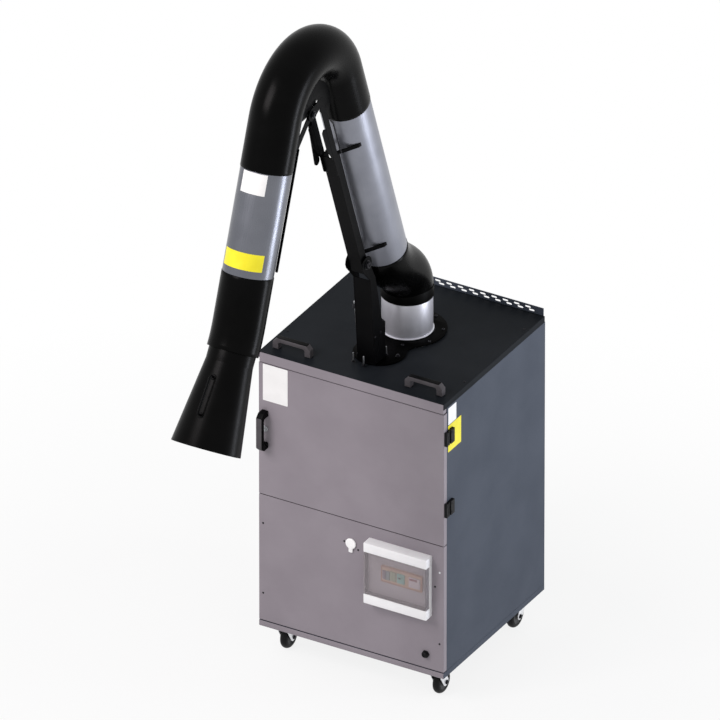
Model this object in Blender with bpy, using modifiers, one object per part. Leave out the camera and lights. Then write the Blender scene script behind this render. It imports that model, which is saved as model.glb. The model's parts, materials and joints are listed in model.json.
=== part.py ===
"""Mobile welding fume extractor: a filter cabinet on casters that carries a jointed suction arm.

Lengths are in metres. X runs to the right, the door faces -Y and Z is up. The sizes below are
measured from the middle of the cabinet at floor level. At the end the whole model is moved so
that the origin is the middle of its outline, on the floor.
"""

import math

import bmesh
import bpy
import numpy as np
from mathutils import Matrix, Vector

# Fits shared by all pieces
TOUCH_GAP = 0.0003
RUNNING_GAP = 0.0005
CUT_OVERRUN = 0.012
WELD_DISTANCE = 0.00002

# Cabinet shell
CABINET_WIDTH = 0.640
CABINET_DEPTH = 0.610
CABINET_HEIGHT = 0.955
GROUND_CLEARANCE = 0.103
SHEET = 0.002
PANEL_SEAM = 0.0008
COVER_DEPTH = 0.018
COVER_SEAM = 0.003
FASCIA_HEIGHT = 0.035
DOOR_HEIGHT = 0.455
BASE_HEIGHT = 0.019
LID_SKIRT = 0.020
JAMB_WIDTH = 0.012
SHELF_LIP = 0.020

# Rear panel and its punched slots
REAR_UPSTAND = 0.025
SLOT_LENGTH = 0.021
SLOT_HEIGHT = 0.0065
SLOT_PITCH = 0.039
SLOT_ROW_PITCH = 0.0082
SLOT_ROW_SHIFT = 0.013
SLOT_EDGE = 0.0195
TOP_SLOT_DROP = 0.0087
STRIP_INSET = 0.005
VENT_LENGTH = 0.090
VENT_HEIGHT = 0.008
VENT_PITCH = 0.020
VENT_COUNT = 6

# Lid handles and door handle, all bridges of one section
HANDLE_LENGTH = 0.130
HANDLE_REACH = 0.038
HANDLE_WIDTH = 0.022
HANDLE_BAR = 0.013
HANDLE_FOOT = 0.020
HANDLE_CORNER = 0.014
HANDLE_EDGE = 0.002
LID_HANDLE_SIDE_INSET = 0.092
LID_HANDLE_INSET = 0.046
DOOR_HANDLE_INSET = 0.022
DOOR_HANDLE_RISE = 0.230

# Door hinges, lock and seal
HINGE_LENGTH = 0.045
HINGE_HEIGHT = 0.047
HINGE_THICKNESS = 0.010
HINGE_BARREL_RADIUS = 0.0045
HINGE_SETBACK = 0.008
HINGE_PIN_RADIUS = 0.002
HINGE_EDGE_INSET = 0.003
HINGE_TOP_DROP = 0.099
HINGE_SPACING = 0.247
SEAL_WIDTH = 0.006
LOCK_RADIUS = 0.007
LOCK_HEAD_RADIUS = 0.010
LOCK_HEAD = 0.003
LOCK_INSET = 0.021
CAM_LENGTH = 0.016
CAM_WIDTH = 0.008
CAM_THICKNESS = 0.003
CAM_CLEARANCE = 0.0036

# Filter chamber
FILTER_INSET = 0.030
FILTER_HEIGHT = 0.300
FILTER_BEVEL = 0.004
ARRESTOR_HEIGHT = 0.025
ARRESTOR_RIM = 0.025
ARRESTOR_COLUMNS = 4
ARRESTOR_ROWS = 4
ARRESTOR_BAR = 0.010

# Fan under the shelf
INLET_RADIUS = 0.105
FAN_HEIGHT = 0.150
FAN_RADIUS = 0.150
FAN_GROWTH = 0.060
FAN_WALL = 0.002
OUTLET_WIDTH = 0.120
IMPELLER_RADIUS = 0.125
IMPELLER_HEIGHT = 0.090
IMPELLER_DISC = 0.003
BLADE_THICKNESS = 0.003
BLADE_INNER_RADIUS = 0.060
BLADE_COUNT = 9
HUB_RADIUS = 0.022
SHAFT_RADIUS = 0.012
SHAFT_DEPTH = 0.040
IMPELLER_LIFT = 0.020
MOTOR_RADIUS = 0.080
MOTOR_LENGTH = 0.180
MOTOR_FLANGE_RADIUS = 0.095
MOTOR_FLANGE = 0.010

# Control box on the lower front panel
BOX_INSET = 0.040
BOX_WIDTH = 0.218
BOX_BOTTOM = 0.312
BOX_HEIGHT = 0.210
BOX_DEPTH = 0.036
BOX_BACK = 0.009
BOX_BAND = 0.032
FLAP_WALL = 0.002
FLAP_GAP = 0.0008
MODULE_WIDTH = 0.142
MODULE_HEIGHT = 0.054
MODULE_SHIFT = 0.017
MODULE_RISE = 0.009
MODULE_DEPTH = 0.011
MODULE_FRAME = 0.006
MODULE_FACE = 0.004
TOGGLE_RADIUS = 0.004
TOGGLE_WIDTH = 0.012
TOGGLE_LENGTH = 0.010
TOGGLE_SLOT = 0.006
TOGGLE_PLACE_SHARE = 0.47
TOGGLE_REST = math.radians(25)

# Lamp and cable gland on the lower front panel
LAMP_RADIUS = 0.0175
LAMP_HEIGHT = 0.483
LAMP_LEFT_OF_BOX = 0.062
LAMP_NECK = 0.014
LAMP_NECK_DROP = 0.030
LAMP_DEPTH = 0.006
GLAND_INSET = 0.061
GLAND_Z = 0.174
GLAND_RADIUS = 0.010
GLAND_NUT_RADIUS = 0.0125
GLAND_NUT = 0.006
GLAND_LENGTH = 0.014
GLAND_BORE = 0.005

# Casters
WHEEL_RADIUS = 0.040
WHEEL_WIDTH = 0.025
WHEEL_BORE = 0.0052
WHEEL_CROWN = 0.004
HUB_WIDTH = 0.029
HUB_FACE_RADIUS = 0.014
AXLE_RADIUS = 0.0045
AXLE_HEAD_RADIUS = 0.008
AXLE_HEAD = 0.005
FORK_SHEET = 0.003
FORK_GAP = 0.0015
FORK_LEG_WIDTH = 0.030
FORK_FOOT_RADIUS = 0.011
FORK_CROWN_DROP = 0.015
CASTER_TRAIL = 0.022
CASTER_INSET_X = 0.055
CASTER_INSET_Y = 0.060
CASTER_PLATE = 0.003
CASTER_PLATE_LENGTH = 0.085
CASTER_PLATE_WIDTH = 0.070
CASTER_RACE_RADIUS = 0.024

# Arm foot on the lid
SWIVEL_BACK = 0.031
RING_OUTER_RADIUS = 0.117
RING_HEIGHT = 0.0032
PLATE_RADIUS = 0.121
PLATE_SHEET = 0.003
LOBE_RADIUS = 0.082
LOBE_FORWARD = 0.165
WAIST_FILLET = 0.040
BOLT_CIRCLE = 0.109
LOBE_BOLT_CIRCLE = 0.062
BOLT_RADIUS = 0.0045
BOLT_HEIGHT = 0.008
BOLT_COUNT = 8
COLLAR_HEIGHT = 0.128

# Ducts and hoses
DUCT_RADIUS = 0.078
DUCT_WALL = 0.0015
HOSE_RADIUS = 0.0795
HOSE_WALL = 0.003
LOWER_DUCT_LENGTH = 0.650
UPPER_DUCT_LENGTH = 0.321
BEND_RADIUS = 0.190
ELBOW_LEG = 0.153
ARM_LEAN = math.radians(20)
FOREARM_LEAN = math.radians(20)
HOOD_BEND = math.radians(12)
HOOD_PIVOT_DROP = 0.195
BASE_HOSE_EASE_SHARE = 0.42
HOSE_LEAD = 0.012

# Shoulder
SHOULDER_FORWARD = 0.293
SHOULDER_HEIGHT = 0.378
DUCT_BEHIND = 0.124
DUCT_START_DROP = 0.063
CHEEK_SPACING = 0.054
CHEEK_SHEET = 0.003
CHEEK_TOP_RADIUS = 0.028
CHEEK_FOOT_REAR = 0.184
CHEEK_FOOT_FRONT = 0.246
CHEEK_FOOT_HEIGHT = 0.128
CHEEK_WAIST_REAR = 0.206
CHEEK_WAIST_HEIGHT = 0.150
CHEEK_NECK_REAR = 0.244
CHEEK_NECK_FRONT = 0.273
CHEEK_NECK_HEIGHT = 0.312
CHEEK_TOP_END = math.radians(35)
CHEEK_WEB_INSET = 0.0005
SHOULDER_PIN_RADIUS = 0.008
PIN_HEAD_RADIUS = 0.014
PIN_HEAD = 0.009
STAY_RADIUS = 0.004
STAY_SPACING = 0.017
STAY_OFFSET = 0.009
STAY_BLOCK = 0.014
STAY_FOOT_FORWARD = 0.216
STAY_TOP_FORWARD = 0.240
STAY_TOP_HEIGHT = 0.218

# Arm channels
CHANNEL_WIDTH = 0.044
UPPER_CHANNEL_WIDTH = 0.040
CHANNEL_DEPTH = 0.030
CHANNEL_SHEET = 0.0025
LOWER_CHANNEL_TAIL = 0.030
LOWER_CHANNEL_END_DROP = 0.102
ELBOW_CHEEK_SPACING = 0.050
ELBOW_CHEEK_OVERLAP = 0.060
ELBOW_CHEEK_FORWARD = 0.010
ELBOW_CHEEK_RADIUS = 0.022
ELBOW_BAR_WIDTH = 0.024
ELBOW_PIN_RADIUS = 0.007
UPPER_CHANNEL_OFFSET = 0.120
UPPER_CHANNEL_START = 0.120
UPPER_CHANNEL_LENGTH = 0.370
CLAMP_BAND = 0.0025
CLAMP_WIDTH = 0.016
CLAMP_SWEEP = math.radians(52)
CLAMP_BLOCK = 0.030
CLAMP_START_RISE = 0.091
CLAMP_END_DROP = 0.114
LINK_WIDTH = 0.024
LINK_SHEET = 0.004
LINK_FOOT_RADIUS = 0.013
LINK_FOOT_FORWARD = 0.034
LINK_FOOT_DROP = 0.262
LINK_TOP_DROP = 0.070
LINK_TOP_FORWARD = 0.014
LINK_SPACER_RADIUS = 0.007

# Hood and its pivot
STRAP_SPACING = 0.114
STRAP_SHEET = 0.003
STRAP_WIDTH = 0.016
STRAP_SEAT = 0.030
PIVOT_BAR = 0.014
PIVOT_PIN_RADIUS = 0.004
NECK_TOP = 0.001
NECK_OUTER_RADIUS = 0.0730
NECK_SLEEVE_RADIUS = 0.069
NECK_INNER_RADIUS = 0.066
HOSE_END_DROP = 0.046
NECK_LENGTH = 0.085
HOOD_SHEET = 0.0025
HOOD_SLEEVE = 0.036
HOOD_DROP = 0.347
HOOD_MOUTH_RADIUS = 0.1075
HOOD_HANDLE_RADIUS = 0.0055
HOOD_HANDLE_REACH = 0.026
HOOD_HANDLE_SHARES = (0.24, 0.66)

# Facets of round pieces
DUCT_SIDES = 28
HOSE_SIDES = 24
ROUND_SIDES = 24
SMALL_SIDES = 12
WHEEL_SIDES = 24
ARC_STEPS = 8
SLOT_END_STEPS = 2
BEND_STEPS = 10
SMOOTH_ANGLE = math.radians(35)

# Places that follow from the sizes above
BASE_Z = GROUND_CLEARANCE
LID_Z = GROUND_CLEARANCE + CABINET_HEIGHT
SIDE_X = CABINET_WIDTH / 2
FRONT_Y = -CABINET_DEPTH / 2
REAR_Y = CABINET_DEPTH / 2
SHELL_FRONT_Y = FRONT_Y + COVER_DEPTH + PANEL_SEAM
SHELL_REAR_Y = REAR_Y - SHEET - TOUCH_GAP
DOOR_TOP_Z = LID_Z - FASCIA_HEIGHT - COVER_SEAM
DOOR_BOTTOM_Z = DOOR_TOP_Z - DOOR_HEIGHT
LOWER_PANEL_TOP_Z = DOOR_BOTTOM_Z - COVER_SEAM
LOWER_PANEL_BOTTOM_Z = BASE_Z + BASE_HEIGHT + COVER_SEAM
SHELF_Z = DOOR_BOTTOM_Z + JAMB_WIDTH
INNER_X = SIDE_X - SHEET - TOUCH_GAP
HINGE_X = SIDE_X + HINGE_THICKNESS / 2
BOX_LEFT = SIDE_X - BOX_INSET - BOX_WIDTH
GLAND_X = SIDE_X - GLAND_INSET
HINGE_Y = FRONT_Y + COVER_DEPTH + PANEL_SEAM / 2
PLATE_BOTTOM = RING_HEIGHT + TOUCH_GAP
PLATE_TOP = PLATE_BOTTOM + PLATE_SHEET
DUCT_END_RISE = LOWER_DUCT_LENGTH - DUCT_START_DROP
ELBOW_Y = DUCT_BEHIND - BEND_RADIUS
ELBOW_Z = DUCT_END_RISE + ELBOW_LEG
UPPER_DUCT_START = -ELBOW_LEG
UPPER_DUCT_END = -ELBOW_LEG - UPPER_DUCT_LENGTH
UPPER_CHANNEL_Y = UPPER_CHANNEL_OFFSET - BEND_RADIUS
# The hood's facets turn past the neck's, so its flats stay outside the neck's corners
HOOD_SLEEVE_INNER = (NECK_SLEEVE_RADIUS + TOUCH_GAP) / math.cos(math.pi / DUCT_SIDES)

# Planes that a flat outline can be laid in: its own X and Y become the two named axes
PLANE_XY = Matrix.Identity(4)
PLANE_XZ = Matrix(((1, 0, 0, 0), (0, 0, -1, 0), (0, 1, 0, 0), (0, 0, 0, 1)))
PLANE_YZ = Matrix(((0, 0, 1, 0), (1, 0, 0, 0), (0, 1, 0, 0), (0, 0, 0, 1)))


def clear_scene():
    for obj in list(bpy.data.objects):
        bpy.data.objects.remove(obj, do_unlink=True)


def new_collection(name):
    collection = bpy.data.collections.new(name)
    bpy.context.scene.collection.children.link(collection)
    return collection


def paint(name, red, green, blue, roughness, metallic=0.0, alpha=1.0):
    """A plain finish with the piece's colour in linear light."""
    material = bpy.data.materials.new(name)
    material.use_nodes = True
    shader = material.node_tree.nodes["Principled BSDF"]
    shader.inputs["Base Color"].default_value = (red, green, blue, 1)
    shader.inputs["Roughness"].default_value = roughness
    shader.inputs["Metallic"].default_value = metallic
    shader.inputs["Alpha"].default_value = alpha
    material.diffuse_color = (red, green, blue, alpha)
    return material


clear_scene()
PARTS = new_collection("welding_fume_extractor")
CUTTERS = new_collection("cutters")

GREY_PAINT = paint("light_grey_paint", 0.29, 0.26, 0.28, 0.45)
SLATE_PAINT = paint("slate_paint", 0.09, 0.10, 0.13, 0.45)
DARK_PAINT = paint("dark_paint", 0.026, 0.031, 0.037, 0.5)
BLACK_PAINT = paint("black_paint", 0.012, 0.012, 0.013, 0.4)
DUCT_METAL = paint("satin_duct_metal", 0.42, 0.42, 0.45, 0.35, 1.0)
ZINC = paint("zinc_plate", 0.55, 0.55, 0.55, 0.35, 1.0)
HOSE_RUBBER = paint("black_hose", 0.008, 0.008, 0.008, 0.35)
HANDLE_PLASTIC = paint("black_plastic", 0.02, 0.02, 0.022, 0.4)
WHITE_PLASTIC = paint("white_plastic", 0.85, 0.85, 0.85, 0.4)
CLEAR_PLASTIC = paint("smoked_clear_plastic", 0.5, 0.5, 0.52, 0.1, 0.0, 0.35)
MODULE_PLASTIC = paint("module_plastic", 0.5, 0.45, 0.4, 0.5)
TYRE_RUBBER = paint("wheel_rubber", 0.012, 0.012, 0.012, 0.5)
SEAL_FOAM = paint("seal_foam", 0.03, 0.03, 0.03, 0.9)
FILTER_MEDIA = paint("filter_media", 0.7, 0.68, 0.62, 0.9)
STEEL = paint("bare_steel", 0.4, 0.4, 0.4, 0.35, 1.0)


def axis_empty(name, location, parent, lean=0.0):
    """A frame on a joint's axis, leaned about X."""
    empty = bpy.data.objects.new(name, None)
    empty.parent = parent
    empty.location = location
    empty.rotation_euler = (lean, 0, 0)
    PARTS.objects.link(empty)
    return empty


def place(name, mesh, material, parent):
    """A named piece, or a helper shape when it has no material."""
    obj = bpy.data.objects.new(name, mesh)
    obj.parent = parent
    if material is None:
        CUTTERS.objects.link(obj)
        obj.hide_render = True
        obj.display_type = "WIRE"
    else:
        mesh.materials.append(material)
        PARTS.objects.link(obj)
    return obj


def finished(name, shape):
    mesh = bpy.data.meshes.new(name)
    shape.to_mesh(mesh)
    shape.free()
    return mesh


def cube_between(low, high):
    shape = bmesh.new()
    bmesh.ops.create_cube(shape, size=1)
    low, high = Vector(low), Vector(high)
    bmesh.ops.scale(shape, vec=high - low, verts=shape.verts)
    bmesh.ops.translate(shape, vec=(low + high) / 2, verts=shape.verts)
    return shape


def box(name, low, high, material, parent):
    """A block between two opposite corners."""
    return place(name, finished(name, cube_between(low, high)), material, parent)


def tray(name, low, high, open_sides, material, parent, sheet=SHEET):
    """A folded sheet box that lacks the faces whose outward directions are in open_sides."""
    shape = cube_between(low, high)
    shape.normal_update()
    gone = [f for f in shape.faces if any(f.normal.dot(Vector(s)) > 0.5 for s in open_sides)]
    bmesh.ops.delete(shape, geom=gone, context="FACES")
    obj = place(name, finished(name, shape), material, parent)
    wall = obj.modifiers.new("sheet", "SOLIDIFY")
    wall.thickness = sheet
    wall.offset = -1
    wall.use_even_offset = True
    return obj


def rod(name, radius, start, end, material, parent, sides=SMALL_SIDES):
    """A round bar between two points."""
    start, end = Vector(start), Vector(end)
    shape = bmesh.new()
    bmesh.ops.create_cone(
        shape,
        cap_ends=True,
        segments=sides,
        radius1=radius,
        radius2=radius,
        depth=(end - start).length,
    )
    turn = (end - start).to_track_quat("Z", "Y").to_matrix().to_4x4()
    bmesh.ops.transform(shape, matrix=Matrix.Translation((start + end) / 2) @ turn, verts=shape.verts)
    return place(name, finished(name, shape), material, parent)


def turned(name, profile, material, parent, steps=ROUND_SIDES):
    """A closed (radius, height) outline turned about Z, listed down its outer side first."""
    mesh = bpy.data.meshes.new(name)
    count = len(profile)
    edges = [(i, (i + 1) % count) for i in range(count)]
    mesh.from_pydata([(radius, 0, height) for radius, height in profile], edges, [])
    obj = place(name, mesh, material, parent)
    screw = obj.modifiers.new("turn", "SCREW")
    screw.axis = "Z"
    screw.steps = screw.render_steps = steps
    screw.use_merge_vertices = True
    screw.merge_threshold = WELD_DISTANCE
    return obj


def baked(obj):
    """The piece's mesh with its modifiers worked in, for laying it along another axis."""
    graph = bpy.context.evaluated_depsgraph_get()
    mesh = bpy.data.meshes.new_from_object(obj.evaluated_get(graph))
    obj.modifiers.clear()
    obj.data = mesh
    return obj


def curve_mesh(name, curve):
    """The welded mesh of a curve."""
    obj = bpy.data.objects.new(name, curve)
    bpy.context.scene.collection.objects.link(obj)
    graph = bpy.context.evaluated_depsgraph_get()
    mesh = bpy.data.meshes.new_from_object(obj.evaluated_get(graph))
    bpy.data.objects.remove(obj, do_unlink=True)
    shape = bmesh.new()
    shape.from_mesh(mesh)
    bmesh.ops.remove_doubles(shape, verts=shape.verts, dist=WELD_DISTANCE)
    bmesh.ops.recalc_face_normals(shape, faces=shape.faces)
    shape.to_mesh(mesh)
    shape.free()
    return mesh


def plate(name, outlines, thickness, material, parent, plane=PLANE_XY, middle=(0, 0, 0)):
    """A flat piece cut to outlines, the first its edge and the others its holes."""
    curve = bpy.data.curves.new(name, "CURVE")
    curve.dimensions = "2D"
    curve.fill_mode = "BOTH"
    curve.extrude = thickness / 2
    for outline in outlines:
        spline = curve.splines.new("POLY")
        spline.points.add(len(outline) - 1)
        for point, (across, up) in zip(spline.points, outline):
            point.co = (across, up, 0, 1)
        spline.use_cyclic_u = True
    mesh = curve_mesh(name, curve)
    mesh.transform(Matrix.Translation(middle) @ plane)
    return place(name, mesh, material, parent)


def tube_mesh(name, points, radius, sides, capped):
    """A round tube along points. The sides are a multiple of four."""
    curve = bpy.data.curves.new(name, "CURVE")
    curve.dimensions = "3D"
    curve.bevel_depth = radius
    curve.bevel_resolution = sides // 2 - 2
    curve.use_fill_caps = capped
    spline = curve.splines.new("POLY")
    spline.points.add(len(points) - 1)
    for point, place_on_path in zip(spline.points, points):
        point.co = (*place_on_path, 1)
    return curve_mesh(name, curve)


def bar(name, points, radius, material, parent, sides=SMALL_SIDES):
    """A solid round bar bent along points."""
    return place(name, tube_mesh(name, points, radius, sides, True), material, parent)


def hose(name, points, material, parent):
    """A smooth hollow hose along points."""
    obj = place(name, tube_mesh(name, points, HOSE_RADIUS, HOSE_SIDES, False), material, parent)
    wall = obj.modifiers.new("wall", "SOLIDIFY")
    wall.thickness = HOSE_WALL
    wall.offset = -1
    wall.use_even_offset = True
    return obj


def combine(piece, tool, operation):
    modifier = piece.modifiers.new(tool.name, "BOOLEAN")
    modifier.operation = operation
    modifier.solver = "EXACT"
    modifier.object = tool


def cut(piece, *tools):
    for tool in tools:
        combine(piece, tool, "DIFFERENCE")


def join(piece, *tools):
    for tool in tools:
        combine(piece, tool, "UNION")


def soften(piece, width):
    edge = piece.modifiers.new("edge", "BEVEL")
    edge.width = width
    edge.segments = 1
    edge.limit_method = "ANGLE"


def rectangle(left, bottom, right, top):
    return [(left, bottom), (right, bottom), (right, top), (left, top)]


def arc(centre, radius, start, end, steps=ARC_STEPS):
    """Points on a circle from one angle to another."""
    angles = np.linspace(start, end, steps + 1)
    return [(centre[0] + radius * math.cos(a), centre[1] + radius * math.sin(a)) for a in angles]


def circle(centre, radius, sides=ROUND_SIDES):
    return arc(centre, radius, 0, 2 * math.pi, sides)[:-1]


def slot(centre, length, height):
    """An oblong hole with round ends of a few facets."""
    reach = (length - height) / 2
    right = arc((centre[0] + reach, centre[1]), height / 2, -math.pi / 2, math.pi / 2, SLOT_END_STEPS)
    left = arc((centre[0] - reach, centre[1]), height / 2, math.pi / 2, 3 * math.pi / 2, SLOT_END_STEPS)
    return right + left


def rounded_bar(start, end, start_radius, end_radius):
    """The outline round two circles, as of a link with two round ends."""
    start, end = np.array(start), np.array(end)
    reach = np.linalg.norm(end - start)
    heading = math.atan2(*(end - start)[::-1])
    flare = math.acos((start_radius - end_radius) / reach)
    around_end = arc(end, end_radius, heading - flare, heading + flare)
    around_start = arc(start, start_radius, heading + flare, heading + 2 * math.pi - flare)
    return around_end + around_start


def bridge_outline(length, reach):
    """A bridge handle seen from the side: two feet and a bar with cut corners."""
    half = length / 2
    inner = half - HANDLE_FOOT
    corner = HANDLE_CORNER
    under = reach - HANDLE_BAR
    outer_side = [(half, 0), (half, reach - corner), (half - corner, reach)]
    inner_side = [(inner, 0), (inner, under - corner / 2), (inner - corner / 2, under)]
    mirrored_outer = [(-across, up) for across, up in reversed(outer_side)]
    mirrored_inner = [(-across, up) for across, up in inner_side]
    return outer_side + mirrored_outer + mirrored_inner + inner_side[::-1]


def bridge_handle(name, place_matrix, parent):
    """A bridge handle that stands on the plane Z = 0 of the given place, along its X."""
    handle = plate(name, [bridge_outline(HANDLE_LENGTH, HANDLE_REACH)], HANDLE_WIDTH,
                   HANDLE_PLASTIC, parent, PLANE_XZ)
    handle.data.transform(place_matrix)
    soften(handle, HANDLE_EDGE)
    return handle


def rear_slots():
    """The punched slots of the strip that stands above the lid, row by row."""
    slots = []
    half = SIDE_X - STRIP_INSET - SLOT_EDGE - SLOT_LENGTH / 2
    for row in range(2):
        height = LID_Z + REAR_UPSTAND - TOP_SLOT_DROP - row * SLOT_ROW_PITCH
        across = -half + row * SLOT_ROW_SHIFT
        while across <= half:
            slots.append(slot((across, height), SLOT_LENGTH, SLOT_HEIGHT))
            across += SLOT_PITCH
    return slots


def outlet_middle():
    """The place on the rear panel where the fan blows out."""
    across = FAN_RADIUS + FAN_GROWTH - OUTLET_WIDTH / 2
    return across, SHELF_Z - SHEET - TOUCH_GAP - FAN_HEIGHT / 2


def cabinet_shell(frame):
    """Base, sides, rear and lid, with the shelf between the filter and the fan."""
    tray("base_pan", (-SIDE_X, FRONT_Y, BASE_Z), (SIDE_X, REAR_Y, BASE_Z + BASE_HEIGHT),
         [(0, 0, 1)], SLATE_PAINT, frame)
    bottom = BASE_Z + BASE_HEIGHT + PANEL_SEAM
    top = LID_Z - LID_SKIRT - PANEL_SEAM
    jambs = [(0, 0, 1), (0, 0, -1)]
    tray("right_side_panel", (SIDE_X - JAMB_WIDTH, SHELL_FRONT_Y, bottom),
         (SIDE_X, SHELL_REAR_Y, top), jambs + [(-1, 0, 0)], SLATE_PAINT, frame)
    tray("left_side_panel", (-SIDE_X, SHELL_FRONT_Y, bottom),
         (-SIDE_X + JAMB_WIDTH, SHELL_REAR_Y, top), jambs + [(1, 0, 0)], SLATE_PAINT, frame)
    top_slots = rear_slots()
    across, height = outlet_middle()
    vents = [
        slot((across, height + (row - (VENT_COUNT - 1) / 2) * VENT_PITCH), VENT_LENGTH, VENT_HEIGHT)
        for row in range(VENT_COUNT)
    ]
    strip = SIDE_X - STRIP_INSET
    shoulder = LID_Z - LID_SKIRT
    outline = [
        (-SIDE_X, bottom), (SIDE_X, bottom), (SIDE_X, shoulder), (strip, shoulder),
        (strip, LID_Z + REAR_UPSTAND), (-strip, LID_Z + REAR_UPSTAND),
        (-strip, shoulder), (-SIDE_X, shoulder),
    ]
    plate("rear_panel", [outline] + top_slots + vents, SHEET, SLATE_PAINT, frame, PLANE_XZ,
          (0, REAR_Y - SHEET / 2, 0))
    lid = tray("top_lid", (-SIDE_X, FRONT_Y, LID_Z - LID_SKIRT), (SIDE_X, SHELL_REAR_Y, LID_Z),
               [(0, 0, -1), (0, -1, 0), (0, 1, 0)], DARK_PAINT, frame)
    hole = rod("lid_hole", DUCT_RADIUS - DUCT_WALL, (0, SWIVEL_BACK, LID_Z - CUT_OVERRUN),
               (0, SWIVEL_BACK, LID_Z + CUT_OVERRUN), None, frame, DUCT_SIDES)
    cut(lid, hole)
    shelf = tray("middle_shelf", (-INNER_X, SHELL_FRONT_Y + SHEET + TOUCH_GAP, SHELF_Z - SHELF_LIP),
                 (INNER_X, SHELL_REAR_Y - SHEET - TOUCH_GAP, SHELF_Z), [(0, 0, -1), (0, 1, 0)], ZINC, frame)
    inlet = rod("shelf_inlet", INLET_RADIUS, (0, 0, SHELF_Z - CUT_OVERRUN),
                (0, 0, SHELF_Z + CUT_OVERRUN), None, frame, ROUND_SIDES)
    cut(shelf, inlet)


def front_covers(frame):
    """The strip under the lid and the fixed panel below the door."""
    skirt = SHEET + TOUCH_GAP
    tray("front_top_rail", (-SIDE_X + skirt, FRONT_Y, LID_Z - FASCIA_HEIGHT),
         (SIDE_X - skirt, FRONT_Y + COVER_DEPTH, LID_Z - skirt), [(0, 1, 0)], GREY_PAINT, frame)
    panel = tray("lower_front_panel", (-SIDE_X, FRONT_Y, LOWER_PANEL_BOTTOM_Z),
                 (SIDE_X, FRONT_Y + COVER_DEPTH, LOWER_PANEL_TOP_Z), [(0, 1, 0)], GREY_PAINT, frame)
    hole = rod("gland_hole", GLAND_RADIUS + TOUCH_GAP, (GLAND_X, FRONT_Y - CUT_OVERRUN, GLAND_Z),
               (GLAND_X, FRONT_Y + CUT_OVERRUN, GLAND_Z), None, frame)
    cut(panel, hole)


def lid_handles(frame):
    for name, side in (("left", -1), ("right", 1)):
        spot = Matrix.Translation(
            (side * (SIDE_X - LID_HANDLE_SIDE_INSET), FRONT_Y + LID_HANDLE_INSET, LID_Z + TOUCH_GAP))
        bridge_handle("lid_handle_" + name, spot, frame)


def hinge_levels():
    upper = LID_Z - HINGE_TOP_DROP - HINGE_HEIGHT / 2
    return ("upper", upper), ("lower", upper - HINGE_SPACING)


def hinges(frame, door_axis):
    """Corner hinges: a block with a pin on the side panel and a leaf on the door."""
    third = HINGE_HEIGHT / 3
    half = HINGE_HEIGHT / 2
    inner = TOUCH_GAP - HINGE_THICKNESS / 2
    outer = HINGE_THICKNESS / 2
    for name, level in hinge_levels():
        rise = level - DOOR_BOTTOM_Z
        block = box("hinge_block_" + name, (HINGE_X + inner, HINGE_Y + HINGE_SETBACK, level - half),
                    (HINGE_X + outer, FRONT_Y + HINGE_EDGE_INSET + HINGE_LENGTH, level + half),
                    HANDLE_PLASTIC, frame)
        pin = rod("hinge_pin_" + name, HINGE_PIN_RADIUS, (HINGE_X, HINGE_Y, level - half),
                  (HINGE_X, HINGE_Y, level + half), None, frame)
        join(block, pin)
        for end, (low, high) in enumerate(((-half, -third / 2), (third / 2, half))):
            tag = f"{name}_{end}"
            knuckle = rod("block_knuckle_" + tag, HINGE_BARREL_RADIUS, (HINGE_X, HINGE_Y, level + low),
                          (HINGE_X, HINGE_Y, level + high), None, frame)
            web = box("block_web_" + tag,
                      (HINGE_X - HINGE_PIN_RADIUS, HINGE_Y, level + low),
                      (HINGE_X + HINGE_PIN_RADIUS, HINGE_Y + HINGE_SETBACK + HINGE_PIN_RADIUS, level + high),
                      None, frame)
            join(block, knuckle, web)
        leaf_front = FRONT_Y + HINGE_EDGE_INSET - HINGE_Y
        leaf = box("hinge_leaf_" + name, (inner, leaf_front, rise - half),
                   (outer, -HINGE_SETBACK, rise + half), HANDLE_PLASTIC, door_axis)
        low, high = rise - third / 2 + RUNNING_GAP, rise + third / 2 - RUNNING_GAP
        knuckle = rod("leaf_knuckle_" + name, HINGE_BARREL_RADIUS, (0, 0, low), (0, 0, high), None, door_axis)
        web = box("leaf_web_" + name, (-HINGE_PIN_RADIUS, -HINGE_SETBACK - HINGE_PIN_RADIUS, low),
                  (HINGE_PIN_RADIUS, 0, high), None, door_axis)
        bore = rod("leaf_bore_" + name, HINGE_PIN_RADIUS + TOUCH_GAP, (0, 0, low - CUT_OVERRUN),
                   (0, 0, high + CUT_OVERRUN), None, door_axis)
        join(leaf, knuckle, web)
        cut(leaf, bore)


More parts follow.
